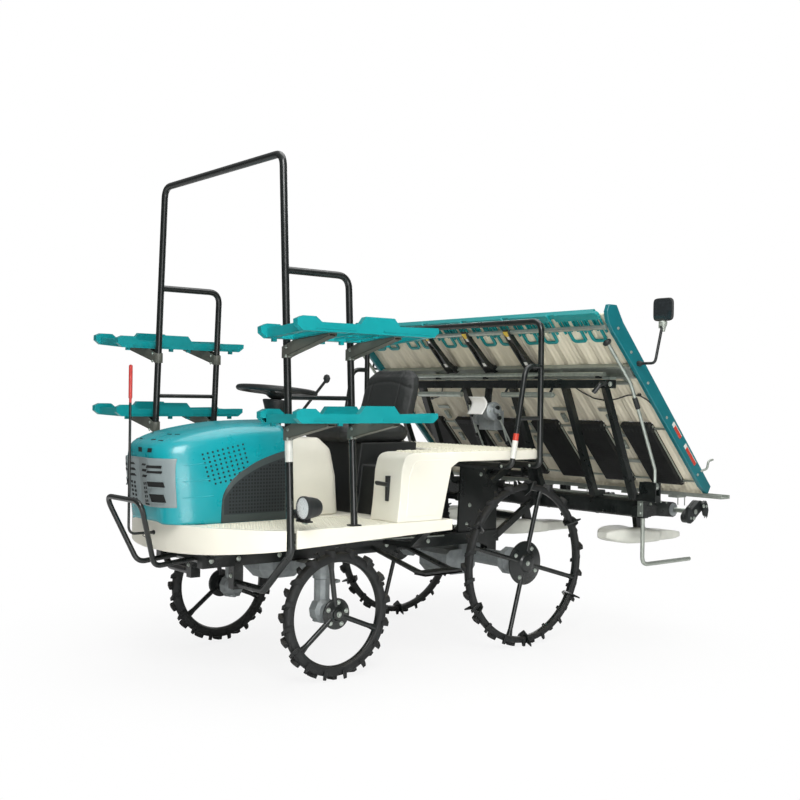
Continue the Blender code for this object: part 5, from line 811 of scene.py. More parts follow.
def rear_deck():
    top, lip, wall, foot = REAR_TOP, 0.045, 0.012, 0.6983
    rise = top - foot

    def side_line(inset):
        nose = 0.945 - inset
        return [(nose + lip * 0.3, foot), (nose, foot + rise * 0.3), (nose - lip * 0.25, foot + rise * 0.75)] + arc(
            (nose - lip * 0.5, foot + rise * 0.88), (nose - lip * 0.7, top - inset),
            (nose - lip * 2.2, top - inset), 12)
    bm, pocket, notch, studs = fresh(4)
    prism(bm, [(0.040, top), (0.040, top - lip), (0.588, top - lip), (0.633, top - lip * 1.6), (0.6915, foot)]
          + side_line(0), "Y", -0.652, 0.652)
    prism(pocket, [(0.052, top - wall), (0.052, foot - lip), (0.945 + lip * 0.3 - wall, foot - lip)]
          + side_line(wall), "Y", -0.640, 0.640)
    box(notch, (0.458, -0.450, foot - 0.004), (0.990, 0.450, top + 0.004))
    piece("rear_deck_moulding", carve(bm, [pocket, notch]), "cream", bevel=0.011, segments=4, smooth=30,
          stands="rear_deck")

    def clear(x, y):
        """On the deck, off the seat's notch and off the rail's front posts."""
        return (abs(y) < REAR_HALF and x < 0.845 and not (abs(y) < 0.47 and x > 0.435)
                and not (abs(abs(y) - 0.66) < 0.055 and 0.27 < x < 0.33))
    knobs(studs, [p for p in staggered(0.062, 0.0265, 0.0300, 30, 21) if clear(*p)], top, 0.0095, 0.0066)
    piece("rear_deck_studs", studs, "cream_top", smooth=50)
    panel = ((0.700, 0.722), (0.908, 0.722), (0.900, 0.800), (0.892, 0.900), (0.872, 0.955), (0.836, 0.978),
             (0.655, 0.978), (0.662, 0.930))
    for name, side in FLANKS:
        bm = bmesh.new()
        skin(bm, [[P(x, side * y, z) for x, z in panel] for y in (0.648, 0.6545)])
        piece("deck_side_panel_" + name, bm, "cream", bevel=0.003, segments=3)
    bm = bmesh.new()
    box(bm, (0.930, 0.555, 0.790), (0.9545, 0.572, 0.905))
    tube(bm, [(0.935, 0.564, 0.868), (0.985, 0.570, 0.872), (1.000, 0.585, 0.872)], 0.0070, 0.012)
    sweep(bm, [(0.992, 0.540, 0.873), (0.996, 0.572, 0.873), (1.000, 0.606, 0.872), (1.001, 0.632, 0.871)], 0.0115,
          flat=0.75)
    piece("deck_lever", bm, "black_plastic", bevel=0.001)


def console():
    foot, top, front = 0.6983, 1.065, 1.277
    widths, leans = ((0, 1.0), (0.5, 0.97), (0.85, 0.90), (1, 0.76)), ((0, 0.0), (0.5, 0.03), (0.85, 0.10), (1, 0.26))
    bm, edge = fresh(2)
    rings = []
    for share in [k / 14 for k in range(15)]:
        half, rear = 0.195 * between(widths, share), 0.930 + 0.355 * between(leans, share)
        soft = half * 0.35
        corner = circle(8, 0, 0.25, True)
        ring = [(front, -half), (front, half)]
        ring += [(rear + soft - soft * s, half - soft + soft * c) for c, s in corner]
        ring += [(rear + soft - soft * c, -half + soft - soft * s) for c, s in corner]
        rings.append([P(x, y, foot + (top - foot) * share) for x, y in ring])
    skin(bm, rings)
    piece("console_moulding", bm, "cream", bevel=0.010, segments=4, smooth=35, stands="steering_console")
    for side in (1, -1):
        box(edge, (1.262, side * 0.186, 0.702), (1.288, side * 0.252, 1.060))
    piece("bonnet_rear_edge", edge, "black_plastic", bevel=0.004)


def steering_wheel():
    tilt = math.radians(5.5)
    up, hub, grip = P(-math.sin(tilt), 0, math.cos(tilt)), P(1.186, 0, 1.288), 0.0135
    side = up.orthogonal().normalized()
    across = up.cross(side)
    bm, cover = fresh(2)
    rings = []
    for k, (c, s) in enumerate(circle(96)):
        out, wave = side * c + across * s, 0.0006 * math.cos(TAU * k / 2)
        rings.append([hub + out * (0.183 + (grip + wave) * a) + up * grip * b for a, b in circle(14)])
    hoop(bm, rings)
    turned(bm, [(0.025, -0.041), (0.034, -0.038), (0.052, -0.024), (0.060, -0.012), (0.058, -0.006), (0.045, -0.002),
                (0.036, 0.0), (0.0, 0.001)], hub, up, 48)
    for c, s in circle(3):
        out = side * c + across * s
        wide = up.cross(out)
        skin(bm, [[hub + out * t + up * (drop + h * b) + wide * w * a for a, b in circle(12)] for t, w, h, drop in (
            (0.030, 0.020, 0.007, -0.016), (0.075, 0.016, 0.0065, -0.015), (0.120, 0.014, 0.006, -0.009),
            (0.165, 0.015, 0.0055, -0.003), (0.180, 0.018, 0.005, -0.001))])
    turned(cover, [(0.030, -0.165), (0.034, -0.163), (0.043, -0.120), (0.056, -0.075), (0.064, -0.052),
                   (0.064, -0.047), (0.058, -0.045), (0.026, -0.045)], hub, up, 40)
    piece("column_cover", cover, "black_plastic", smooth=40)
    piece("steering_rim", bm, "black_plastic", "steering_wheel", smooth=45, stands="steering_wheel")


step_deck()
rear_deck()
console()
steering_wheel()


# ---- seat, with its cushions swelled by a cloth pass ----
def soft_ring(x, z, half_x, half_y, corner=0.3):
    """Level ring with rounded corners."""
    rx, ry = half_x * corner * 1.3, half_y * corner
    return [P(x + sx * (half_x - rx) + rx * c, sy * (half_y - ry) + ry * s, z)
            for sx, sy, start in ((1, 1, 0), (-1, 1, 0.25), (-1, -1, 0.5), (1, -1, 0.75))
            for c, s in circle(8, start, 0.25, True)]


def swell(ob, cap, pressure=4.0, voxel=0.006):
    """Voxel skin, then a pressure cloth pass whose moves are capped."""
    scene = bpy.context.scene

    def apply(mod):
        mesh, old = evaluated(ob), ob.data
        ob.modifiers.remove(mod)
        ob.data = mesh
        bpy.data.meshes.remove(old)
    mod = ob.modifiers.new("skin", "REMESH")
    mod.mode, mod.voxel_size, mod.use_smooth_shade = "VOXEL", voxel, True
    apply(mod)
    start = [v.co.copy() for v in ob.data.vertices]
    mod = ob.modifiers.new("cloth", "CLOTH")
    mod.settings.use_pressure = True
    mod.settings.uniform_pressure_force = pressure
    mod.settings.effector_weights.gravity = 0
    mod.settings.tension_stiffness = mod.settings.compression_stiffness = 25
    for k in range(1, 21):
        scene.frame_set(k)
    apply(mod)
    for v, before in zip(ob.data.vertices, start):
        move = v.co - before
        if move.length > cap:
            v.co = before + move.normalized() * cap
    scene.frame_set(1)


def cushion(name, node, rings, cap, press):
    bm = bmesh.new()
    skin(bm, rings)
    ob = piece(name, bm, "seat_vinyl", None, stands=node)
    swell(ob, cap)
    for v in ob.data.vertices:
        press(v.co, v.co.x - SHIFT, v.co.y, v.co.z)
    mod = ob.modifiers.new("round", "SUBSURF")
    mod.levels = mod.render_levels = 1
    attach(ob, "chassis")


def press_pad(co, x, y, z):
    """Seams and hollow of the seat's top, and the piping round its edge."""
    if z > 1.085:
        seams = sum(0.0055 * dent(y - line, 0.006) for line in (-0.105, 0.105)) if 0.55 < x < 0.88 else 0.0
        co.z -= seams + 0.0050 * dent(x - 0.560, 0.006) + 0.010 * dent(x - 0.69, 0.11) * dent(y, 0.12)
    out = P(x - 0.7075, y, 0)
    if out.length > 0.12:
        co += out.normalized() * 0.0018 * dent(z - 1.092, 0.004)
    co.z = clamp(co.z, 1.0405, 1.1352)


def press_rest(co, x, y, z):
    """Seams on the front of the seat's back and one behind."""
    if x > 0.5275 - 0.075 * (z - 1.1385) / 0.2695:
        seams = sum(0.0055 * dent(y - line, 0.0055) for line in (-0.115, 0.115))
        co.x -= seams + 0.005 * dent(z - 1.345 + y * y, 0.006)
    else:
        co.x += 0.004 * dent(z - 1.18, 0.006)
    co.x = clamp(co.x, 0.4105 + SHIFT, 0.5695 + SHIFT)
    co.z = clamp(co.z, 1.1358, 1.4148)


def seat():
    pad = [soft_ring(0.7075, 1.0445 + 0.080 * share, 0.2225 * size, 0.215 * size) for share, size in (
        (0, 0.86), (0.10, 0.92), (0.30, 0.965), (0.60, 0.97), (0.85, 0.93), (1, 0.85))]
    rest = [soft_ring(0.5275 - 0.075 * share, 1.1385 + 0.2695 * share, 0.0425 * (0.86 if share < 0.9 else 0.62),
                      0.215 * size, 0.42) for share, size in (
        (0, 0.88), (0.04, 0.94), (0.12, 0.965), (0.30, 0.97), (0.55, 0.96), (0.72, 0.93), (0.85, 0.87), (0.92, 0.79),
        (0.97, 0.68), (1, 0.54))]
    cushion("seat_pad", "seat_cushion", pad, 0.009, press_pad)
    cushion("seat_rest", "seat_back", rest, 0.007, press_rest)


seat()


# ---- racks, rails and trays ----
RACK_X, LADDER_X, RAIL_X, RAIL_FRONT, RAIL_Y = 1.517, 1.184, 0.100, 0.295, 0.705
TRAY_ROOT = 0.655
TRAY_LEVELS = (("upper", 1.495, math.radians(4.5)), ("lower", 1.150, math.radians(1)))


def half_at(z):
    """Half width between the rack's leaning posts at a height."""
    return 0.535 + 0.0596 * (2.296 - z)


def both_ways(legs):
    return legs + [(x, -y, z) for x, y, z in reversed(legs)]


def tray_bracket(brackets, nuts, x, side, foot, tilt):
    """Folded sheet bracket under one tray, with the clamp that holds it on its post."""
    root, first, tip = half_at(foot) - 0.008, TRAY_ROOT + 0.006, TRAY_ROOT + 0.261
    slope, sunk = math.tan(tilt), 0.0003 / math.cos(tilt)
    z0, z1 = foot + 0.006 * slope - sunk, foot + 0.261 * slope - sunk
    web = [(root, z0 - 0.075), (root + 0.060, z0 - 0.060), (tip, z1 - 0.012), (tip, z1), (first, z0),
           (root, z0 - 0.026)]
    top = [(first - 0.004, z0), (tip, z1), (tip, z1 - 0.0035), (first - 0.004, z0 - 0.0035)]
    under = [(root + 0.010, z0 - 0.0735), (root + 0.060, z0 - 0.060), (tip - 0.01, z1 - 0.0135),
             (tip - 0.01, z1 - 0.010), (root + 0.058, z0 - 0.056), (root + 0.012, z0 - 0.070)]
    for outline, low, high in ((web, -0.020, -0.0165), (web, 0.0165, 0.020), (top, -0.020, 0.020),
                               (under, -0.020, 0.020)):
        prism(brackets, [(side * a, b) for a, b in outline], "X", x + low, x + high)
    clamp_y = half_at(z0 - 0.045)
    turned(brackets, [(0.0195, -0.024), (0.0205, -0.022), (0.0205, 0.022), (0.0195, 0.024)],
           (x, side * clamp_y, z0 - 0.050), (0, side * 0.0596, -1), 20)
    for z in (z0 - 0.028, z0 - 0.066):
        bolt(nuts, (x + 0.020, side * (root + 0.034), z), (1, 0, 0), 0.0052)
        bolt(nuts, (x, side * (clamp_y + 0.0195), z), (0, side, 0), 0.0048)


def rack():
    bm, brackets, nuts, bands = fresh(4)
    tube(bm, both_ways([(RACK_X, 0.2178, 0.420), (RACK_X, 0.430, 0.420), (RACK_X, half_at(0.600), 0.600),
                        (RACK_X, 0.535, 2.2957)]), 0.0163, 0.060, 24)
    for side in (1, -1):
        start, foot, y = side * half_at(1.795), half_at(0.70), side * half_at(1.255)
        tube(bm, [(RACK_X, start, 1.795), (LADDER_X, start, 1.795), (LADDER_X, side * half_at(0.6993), 0.6993)],
             0.0155, 0.060, 20)
        rod(bm, (RACK_X, y, 1.255), (LADDER_X, y, 1.255), 0.0098)
        box(bm, (1.160, side * (foot - 0.022), 0.6985), (1.208, side * (foot + 0.022), 0.7045))
        for _, level, tilt in TRAY_LEVELS:
            for x in (RACK_X, LADDER_X):
                tray_bracket(brackets, nuts, x, side, level, tilt)
        for z in (0.455, 0.510):
            bolt(nuts, (1.542, side * 0.195, z), (1, 0, 0), 0.0075)
        # white reflector bands on the posts
        sweep(bands, [(RACK_X, side * half_at(z), z) for z in (0.985, 1.075)], 0.0172, 24)
    piece("rack_tubes", bm, "black_paint", smooth=50, stands="rack_frame")
    piece("rack_brackets", brackets, "bracket_grey", bevel=0.001)
    piece("rack_bolts", nuts, "zinc", bevel=0.0004)
    piece("rack_reflectors", bands, "reflector_white", smooth=50)


def rear_rail():
    bm, nuts, bands, reds = fresh(4)
    tube(bm, both_ways([(RAIL_X, 0.630, 0.935), (RAIL_X, RAIL_Y, 0.935), (RAIL_X, RAIL_Y, 1.650)]), 0.0148, 0.060, 20)
    for side in (1, -1):
        y = side * RAIL_Y
        tube(bm, [(RAIL_X, y, 1.425), (0.205, y, 1.425), (RAIL_FRONT, y, 0.935), (RAIL_FRONT, y - side * 0.075, 0.935)],
             0.0133, 0.060, 20)
        rod(bm, (RAIL_X, y, 1.170), (0.2518, y, 1.170), 0.0103, 14)
        rod(bm, (RAIL_X, y, 0.952), (RAIL_X, y, 0.975), 0.0175, 20)
        low, high = P(0.2875, y, 0.975), P(0.2655, y, 1.095)
        rod(bands, low, low.lerp(high, 0.72), 0.0142, 20)
        rod(reds, low.lerp(high, 0.72), high, 0.0142, 20)
        for x in (RAIL_X, RAIL_FRONT):
            bolt(nuts, (x + 0.02, side * TRAY_ROOT, 0.935), (1, 0, 0), 0.006)
    piece("rear_rail_tubes", bm, "black_paint", smooth=50, stands="rear_rail")
    piece("rear_rail_bolts", nuts, "zinc", bevel=0.0004)
    piece("rear_rail_bands", bands, "reflector_white", smooth=50)
    piece("rear_rail_reds", reds, "reflector_red", smooth=50)


def trays():
    """The CAD trays with soft edges, plus the long beads, clips and feet of the moulding."""
    for level, foot, tilt in TRAY_LEVELS:
        for name, side in FLANKS:
            hinge = P(0, side * TRAY_ROOT, foot)
            lean = Matrix.Translation(hinge) @ Matrix.Rotation(side * tilt, 4, "X") @ Matrix.Translation(-hinge)

            def extra(bm):
                more = bmesh.new()
                for y in (0.655, 0.945):
                    for x0, x1 in ((1.02, 1.28), (1.42, 1.62)):
                        strap(more, [(x0, side * y, foot + 0.014), (x1, side * y, foot + 0.014)], 0.006, 0.007)
                bits = [(x, 0.010, 0.668, 0.682, -0.014, 0.004) for x in (1.05, 1.30, 1.40, 1.64)]
                bits += [(1.06 + k * 0.070, 0.0025, 0.685, 0.915, 0.004, 0.016) for k in range(9)]
                bits += [(x, 0.030, 0.790, 0.810, 0.003, 0.018) for x in (1.20, 1.34, 1.48)]
                for x, half, y0, y1, z0, z1 in bits:
                    box(more, (x - half, side * y0, foot + z0), (x + half, side * y1, foot + z1))
                merge(bm, more, lean)
            refined("seedling_tray_" + name + "_" + level, "tray_teal", 0.0030, 3, extra)


rack()
rear_rail()
trays()


# ---- small pieces of the tractor ----
def centre_marker():
    foot, front, high = 0.648, 1.945, 1.241
    bm, top = fresh(2)
    tube(bm, [(1.8223, 0, foot), (front, 0, foot), (front, 0, 1.225)], 0.0058, 0.036, 14)
    turned(bm, [(0.0, 0.0), (0.010, 0.0), (0.010, 0.006), (0.007, 0.008), (0.007, 0.016), (0.0, 0.016)],
           (1.8223, 0, foot), (1, 0, 0), 20)
    tube(bm, [(1.850, -0.012, foot - 0.004), (1.850, 0.016, foot - 0.010), (1.872, 0.022, foot - 0.018),
              (1.880, 0.004, foot - 0.010), (1.862, -0.010, foot)], 0.0016, 0.006, 8)
    rod(top, (front, 0, 1.222), (front, 0, high), 0.0058, 14)
    turned(top, [(0.0060, 0), (0.0084, 0.004), (0.0084, 0.140), (0.0074, 0.147), (0.0, 0.150)],
           (front, 0, high), UP, 20)
    piece("marker_rod_lower", bm, "black_paint", smooth=50)
    piece("marker_rod_upper", top, "red", smooth=50, stands="centre_marker")


def headlamp():
    """Black housing, bright dish with facets, lens, and the bracket."""
    place, axis, rim = P(1.500, 0.695, 0.797), P(1, 0, 0), 0.0445
    bm, dish, lens, nuts = fresh(4)
    turned(bm, [(0.016, -0.085), (0.030, -0.080), (0.038, -0.068), (0.043, -0.045), (0.0465, -0.022), (0.0495, -0.014),
                (0.0500, -0.004), (0.0495, 0.002), (0.0455, 0.004), (0.0450, -0.002), (0.0405, -0.020), (0.020, -0.038),
                (0.0, -0.040)], place, axis, 48)
    strap(bm, [(1.4675, 0.632, 0.7365), (1.4675, 0.632, 0.795)], 0.040, 0.010, (1, 0, 0))
    box(bm, (1.4580, 0.630, 0.7350), (1.4910, 0.709, 0.7420))
    box(bm, (1.4640, 0.690, 0.7380), (1.4840, 0.702, 0.7600))
    turned(bm, [(0.0, 0), (0.018, 0), (0.020, 0.003), (0.020, 0.026), (0.018, 0.029), (0.0, 0.029)],
           (1.478, 0.6345, 0.765), (0, -1, 0), 24)
    rings = []
    for k in range(6):
        r = rim - 0.0072 * k
        depth = -0.003 - 0.032 * (1 - (r / rim) ** 2)
        rings.append([place + axis * (depth + (0.0016 if (k + j) % 2 else 0.0)) + P(0, c, s) * r
                      for j, (c, s) in enumerate(circle(20))])
    skin(dish, rings)
    turned(dish, [(0.012, 0.0), (0.012, 0.012), (0.007, 0.020), (0.0, 0.021)], place + P(-0.034, 0, 0), axis, 20)
    turned(lens, [(0.0, -0.0005), (0.0446, -0.0005), (0.0448, 0.0012), (0.040, 0.0032), (0.025, 0.0048), (0.0, 0.0052)],
           place, axis, 48)
    bolt(nuts, (1.474, 0.672, 0.7350), (0, 0, -1), 0.007)
    tube(nuts, [(1.474, 0.655, 0.7310), (1.474, 0.690, 0.7290)], 0.0035, 0, 10)
    bolt(nuts, (1.470, 0.6375, 0.780), (0, 1, 0), 0.0055)
    piece("lamp_housing", bm, "black_plastic", bevel=0.0012, smooth=40, stands="headlamp")
    piece("lamp_dish", dish, "lamp_chrome", smooth=12)
    piece("lamp_lens", lens, "lens", smooth=60)
    piece("lamp_bolts", nuts, "zinc")


def frame_piece():
    """The CAD frame with soft edges; its round guard and steps are drawn finer."""
    def extra(bm):
        drop(bm, lambda x, y, z: x > 1.716)
        drop(bm, lambda x, y, z: abs(y) > 0.28 and z < 0.438 and 0.53 < x < 0.80)
        tube(bm, both_ways([(1.660, 0.080, 0.530), (1.860, 0.080, 0.508), (1.975, 0.175, 0.805)]), 0.0119, 0.050, 20)
    refined("main_frame", "black_paint", 0.0028, 2, extra)
    bm, nuts, shiny = fresh(3)
    rear, front, inner = 0.550, 0.780, 0.195
    for side in (1, -1):
        out, axis = side * 0.6025, (0, side, 0)
        tube(bm, [(rear + 0.02, side * inner, 0.530), (rear + 0.02, out, 0.4455), (front - 0.02, out, 0.4455),
                  (front - 0.02, side * inner, 0.530)], 0.0115, 0.040)
        box(bm, (rear, out - 0.040, 0.4402), (front, out + 0.040, 0.4490))
        for x in [rear + 0.020 + i * 0.0235 for i in range(9)]:
            for j in range(3):
                turned(bm, [(0.0062, 0), (0.005, 0.004), (0.002, 0.0055)], (x, out - 0.024 + j * 0.024, 0.4485), UP, 10)
        for x in (1.655, 1.517, 1.30, 0.671, 0.40, 0.10):
            bolt(nuts, (x, side * 0.2178, 0.532), axis, 0.0080)
        for x, z in ((0.02, 0.86), (0.10, 0.70), (0.0, 0.62), (0.12, 0.60)):
            bolt(nuts, (x, side * 0.2012, z), axis, 0.0075)
        # brake and clutch rods, hoses and the loom along the rails
        rod(shiny, (1.30, side * 0.226, 0.575), (0.30, side * 0.226, 0.555), 0.0042, 10)
        tube(bm, [(1.50, side * 0.175, 0.572), (1.20, side * 0.182, 0.576), (0.90, side * 0.176, 0.570),
                  (0.60, side * 0.184, 0.575), (0.34, side * 0.176, 0.590)], 0.0075, 0.05, 12)
        for x in (1.42, 1.10, 0.78, 0.46):
            turned(bm, [(0.010, -0.006), (0.0105, 0.0), (0.010, 0.006)], (x, side * 0.1785, 0.5735), (1, 0, 0), 14)
        # bracket beneath the front corner of the deck
        box(bm, (1.560, side * 0.300, 0.585), (1.640, side * 0.305, 0.640))
    piece("frame_steps", bm, "black_paint", bevel=0.0008, smooth=40)
    piece("frame_bolts", nuts, "zinc", bevel=0.0004)
    piece("frame_rods", shiny, "zinc", smooth=50)


centre_marker()
headlamp()
frame_piece()


# ---- seedling tank ----
TOP_POINT, FOOT_POINT = P(-0.045, 0, 1.690), P(-0.850, 0, 0.790)
DOWN = (FOOT_POINT - TOP_POINT).normalized()
LONG = (FOOT_POINT - TOP_POINT).length
FACE = DOWN.cross(P(0, 1, 0)).normalized()
PITCH_Y = 0.324
ROWS = [(k - 2.5) * PITCH_Y for k in range(6)]
UNIT_ROWS = (("left", 0.648), ("middle", 0.0), ("right", -0.648))
TANK_HALF, LIFT = 0.988, 0.0078  # half width between the rails, and the plates' face above the tank's plane
BELT_LOW, BELT_HIGH, BELT_MID = LONG * 0.60 + 0.026, LONG * 0.95 - 0.026, 0.014
CHANNEL = (1.690 - 1.425) / -DOWN.z
PRESS, PRESS_OUT = PITCH_Y * 0.185, LIFT + 0.0356  # the pressing tube's place down and out from the face


def on_tank(down, y, out):
    return TOP_POINT + DOWN * down + P(0, y, 0) + FACE * out


def tank_box(bm, d0, d1, y0, y1, o0, o1):
    y0, y1 = sorted((y0, y1))
    skin(bm, [[on_tank(d, y, o) for y, o in ((y0, o0), (y1, o0), (y1, o1), (y0, o1))] for d in (d0, d1)])


def tank_pad(bm, d0, d1, y, half, o0, o1):
    """Tank box that is centred on a line across."""
    tank_box(bm, d0, d1, y - half, y + half, o0, o1)


def belts():
    """Feed belts with their side guides, toothed rollers and what joins them."""
    bands, guides, rollers, pins = fresh(4)
    for y in ROWS:
        outline = [(centre + 0.0252 * c, BELT_MID + 0.0252 * s)
                   for centre, start in ((BELT_HIGH, -0.25), (BELT_LOW, 0.25))
                   for c, s in circle(12, start, 0.5, True)]
        skin(bands, [[on_tank(d, y + s * 0.0915, o) for d, o in outline] for s in (-1, 1)])
        count = 26
        for k in range(count):
            d = BELT_LOW + (BELT_HIGH - BELT_LOW) * (k + 0.5) / count
            tank_pad(bands, d - 0.0012, d + 0.0012, y, 0.088, BELT_MID + 0.024, BELT_MID + 0.0262)
        for s in (-1, 1):
            tank_pad(guides, BELT_LOW - 0.020, BELT_HIGH + 0.012, y + s * 0.0960, 0.0010, BELT_MID - 0.004,
                     BELT_MID + 0.006)
            for d in (BELT_LOW, BELT_HIGH):
                turned(rollers, [(0.0, 0), (0.0215, 0), (0.0215, 0.003), (0.008, 0.003), (0.008, 0.010), (0.0, 0.010)],
                       on_tank(d, y + s * 0.0915, BELT_MID), (0, s, 0), 24)
        tank_pad(rollers, BELT_LOW - 0.036, BELT_LOW - 0.022, y, 0.094, 0.0080, 0.0105)
        for k in range(16):
            tank_pad(rollers, BELT_LOW - 0.040, BELT_LOW - 0.006, y - 0.088 + 0.0117 * k, 0.0034, 0.0085, 0.0400)
        for k in range(7):
            turned(rollers, [(0.0262, -0.003), (0.0272, -0.001), (0.0272, 0.001), (0.0262, 0.003)],
                   on_tank(BELT_LOW, y - 0.075 + 0.025 * k, BELT_MID), (0, 1, 0), 24)
    for d in (BELT_LOW, BELT_HIGH):
        rod(pins, on_tank(d, -TANK_HALF, BELT_MID), on_tank(d, TANK_HALF, BELT_MID), 0.0058, 14)
    # cross straps, hinge blocks and springs between the belts
    for y in [k * PITCH_Y for k in range(-2, 3)]:
        for d in (0.62, 0.80, 0.99):
            tank_pad(guides, d, d + 0.022, y, 0.050, 0.0080, 0.0110)
        for d in (0.66, 0.845):
            tank_box(guides, d, d + 0.060, y - 0.012, y + 0.016, 0.0085, 0.0200)
            for more in (0.015, 0.045):
                bolt(pins, on_tank(d + more, y, 0.020), FACE)
        sweep(pins, [on_tank(0.73 + 0.075 * k / 90, y + 0.030 + 0.006 * c, 0.018 + 0.006 * s)
                     for k, (c, s) in enumerate(circle(90, 0, 10, True))], 0.0013, 6)
    piece("belt_bands", bands, "belt", "tank", smooth=40, stands="feed_belts")
    piece("belt_guides", guides, "dull_zinc", "tank", bevel=0.0006)
    piece("belt_rollers", rollers, "black_plastic", "tank", smooth=40)
    piece("belt_pins", pins, "zinc", "tank", smooth=40)


def channel():
    """Channel across the tank, with the pressing tube above it."""
    bar, tubes = fresh(2)
    half = [(0.0375, 0), (0.0375, 0.028), (0.0275, 0.028), (0.0275, 0.024), (0.0335, 0.024), (0.0335, 0.004)]
    outline = [(-0.0375, LIFT)] + [(d, LIFT + o) for d, o in half] + [(-d, LIFT + o) for d, o in half[:0:-1]]
    skin(bar, [[on_tank(CHANNEL + d, y, o) for d, o in outline] for y in (-TANK_HALF, TANK_HALF)])
    for y in (-0.96, -0.5, 0.0, 0.5, 0.96):
        tank_pad(bar, CHANNEL - 0.030, CHANNEL + 0.030, y, 0.016, LIFT + 0.004, LIFT + 0.0245)
    for down, half, out, radius, sides in ((PRESS, TANK_HALF, PRESS_OUT, 0.0118, 20),
                                           (CHANNEL + 0.070, 0.930, LIFT + 0.022, 0.0100, 18)):
        rod(tubes, on_tank(down, -half, out), on_tank(down, half, out), radius, sides)
    for y in (-0.90, -0.45, 0.0, 0.45, 0.90):
        tank_pad(tubes, CHANNEL + 0.030, CHANNEL + 0.082, y, 0.010, LIFT, LIFT + 0.012)
    piece("tank_channel_bar", bar, "dull_zinc", "tank", bevel=0.0008, stands="tank_channel")
    piece("tank_tubes", tubes, "zinc", "tank", smooth=50)


def latches():
    """Latch arms between tube and channel, and the thin cable that is clipped along the plates."""
    arms, tabs, labels, bits = fresh(4)
    out = PRESS_OUT
    for y in [k * PITCH_Y for k in (-1, 0, 1)]:
        for s in (-1, 1):
            strap(arms, [on_tank(PRESS - 0.016, y + s * 0.015, out + 0.010),
                         on_tank(PRESS + 0.05, y + s * 0.018, out + 0.012),
                         on_tank(CHANNEL * 0.72, y + s * 0.025, out + 0.004),
                         on_tank(CHANNEL - 0.022, y + s * 0.036, LIFT + 0.026)], 0.010, 0.026)
            bolt(bits, on_tank(CHANNEL - 0.035, y + s * 0.018, LIFT + 0.030), FACE, 0.0055)
        for into, d0, d1, half, o0, o1 in (
                (arms, PRESS + 0.030, PRESS + 0.060, 0.015, out + 0.014, out + 0.018),
                (arms, CHANNEL * 0.52, CHANNEL * 0.70 + 0.07, 0.024, out + 0.003, out + 0.009),
                (arms, CHANNEL - 0.054, CHANNEL - 0.018, 0.044, LIFT + 0.010, LIFT + 0.032),
                (tabs, PRESS - 0.020, PRESS + 0.012, 0.016, out + 0.0195, out + 0.0235),
                (arms, PRESS - 0.028, PRESS + 0.020, 0.019, out + 0.011, out + 0.0195),
                (labels, PRESS + 0.014, PRESS + 0.034, 0.0150, out + 0.0190, out + 0.0205),
                (labels, CHANNEL * 0.70 + 0.008, CHANNEL * 0.70 + 0.032, 0.012, out + 0.0088, out + 0.0098)):
            tank_pad(into, d0, d1, y, half, o0, o1)
    run = ((0.455, 0.52), (0.50, 0.56), (0.545, 0.62), (0.560, 0.70), (0.545, 0.78), (0.520, 0.86), (0.520, 0.93),
           (0.56, 0.975), (0.66, 0.985))
    for s in (1, -1):
        tube(arms, [on_tank(d, s * y, 0.016) for d, y in run], 0.0036, 0.06, 8)
        for d, y in (run[0], run[3], run[6]):
            tank_pad(arms, d - 0.006, d + 0.006, s * y, 0.010, 0.0080, 0.0200)
    piece("latch_arms", arms, "black_paint", "tank", bevel=0.001)
    piece("latch_tabs", tabs, "tab_yellow", "tank", bevel=0.0008)
    piece("latch_labels", labels, "white_plastic", "tank", bevel=0.0004)
    piece("latch_bolts", bits, "zinc", "tank")


def combs():
    """Rounded comb units whose fingers are open loops, on the tank's top edge."""
    bm = bmesh.new()
    wide, drop, leg, soft, arm = PITCH_Y * 0.44, 0.162, 0.0405, 0.016, 0.0080
    quarter = circle(6, 0, 0.25, True)
    tank_pad(bm, -0.014, 0.0137, 0, 3 * PITCH_Y - 0.052, -0.012, LIFT + 0.0084)
    cap = [(-wide, -0.006), (-wide + 0.008, -0.0165), (wide - 0.008, -0.0165), (wide, -0.006), (wide, 0.018),
           (wide - 0.006, 0.0245), (-wide + 0.006, 0.0245), (-wide, 0.018)]
    for centre in ROWS:
        skin(bm, [[on_tank(d, centre + y, o) for y, d in cap] for o in (LIFT, LIFT + 0.0190)])
        for y0, y1 in ((-wide + 0.012, -0.008), (0.008, wide - 0.012)):
            tank_box(bm, -0.010, 0.006, centre + y0, centre + y1, LIFT + 0.018, LIFT + 0.0205)
        for y in (centre - wide * 0.46, centre + wide * 0.46):
            loop = [on_tank(0.010, y - leg, LIFT + 0.005)]
            loop += [on_tank(drop - soft + soft * s, y - leg + soft - soft * c, LIFT + 0.006) for c, s in quarter]
            loop += [on_tank(drop - soft + soft * c, y + leg - soft + soft * s, LIFT + 0.006) for c, s in quarter]
            loop += [on_tank(0.010, y + leg, LIFT + 0.005)]
            rings = []
            for i, p in enumerate(loop):
                side = heading(loop, i).normalized().cross(FACE).normalized()
                rings.append([p + side * arm * a + FACE * 0.0045 * b for a, b in ((-1, -1), (1, -1), (1, 1), (-1, 1))])
            skin(bm, rings)
            for k in (-0.5, 0.5):
                tank_pad(bm, 0.0, drop * 0.62, y + leg * k, 0.0045, LIFT, LIFT + 0.010)
        for share in (-0.94, 0.0, 0.94):
            tank_pad(bm, 0.0, drop * 0.70, centre + wide * share, 0.0050, LIFT, LIFT + 0.010)
    piece("comb_units", bm, "comb_teal", "tank", bevel=0.0016, stands="seedling_combs")


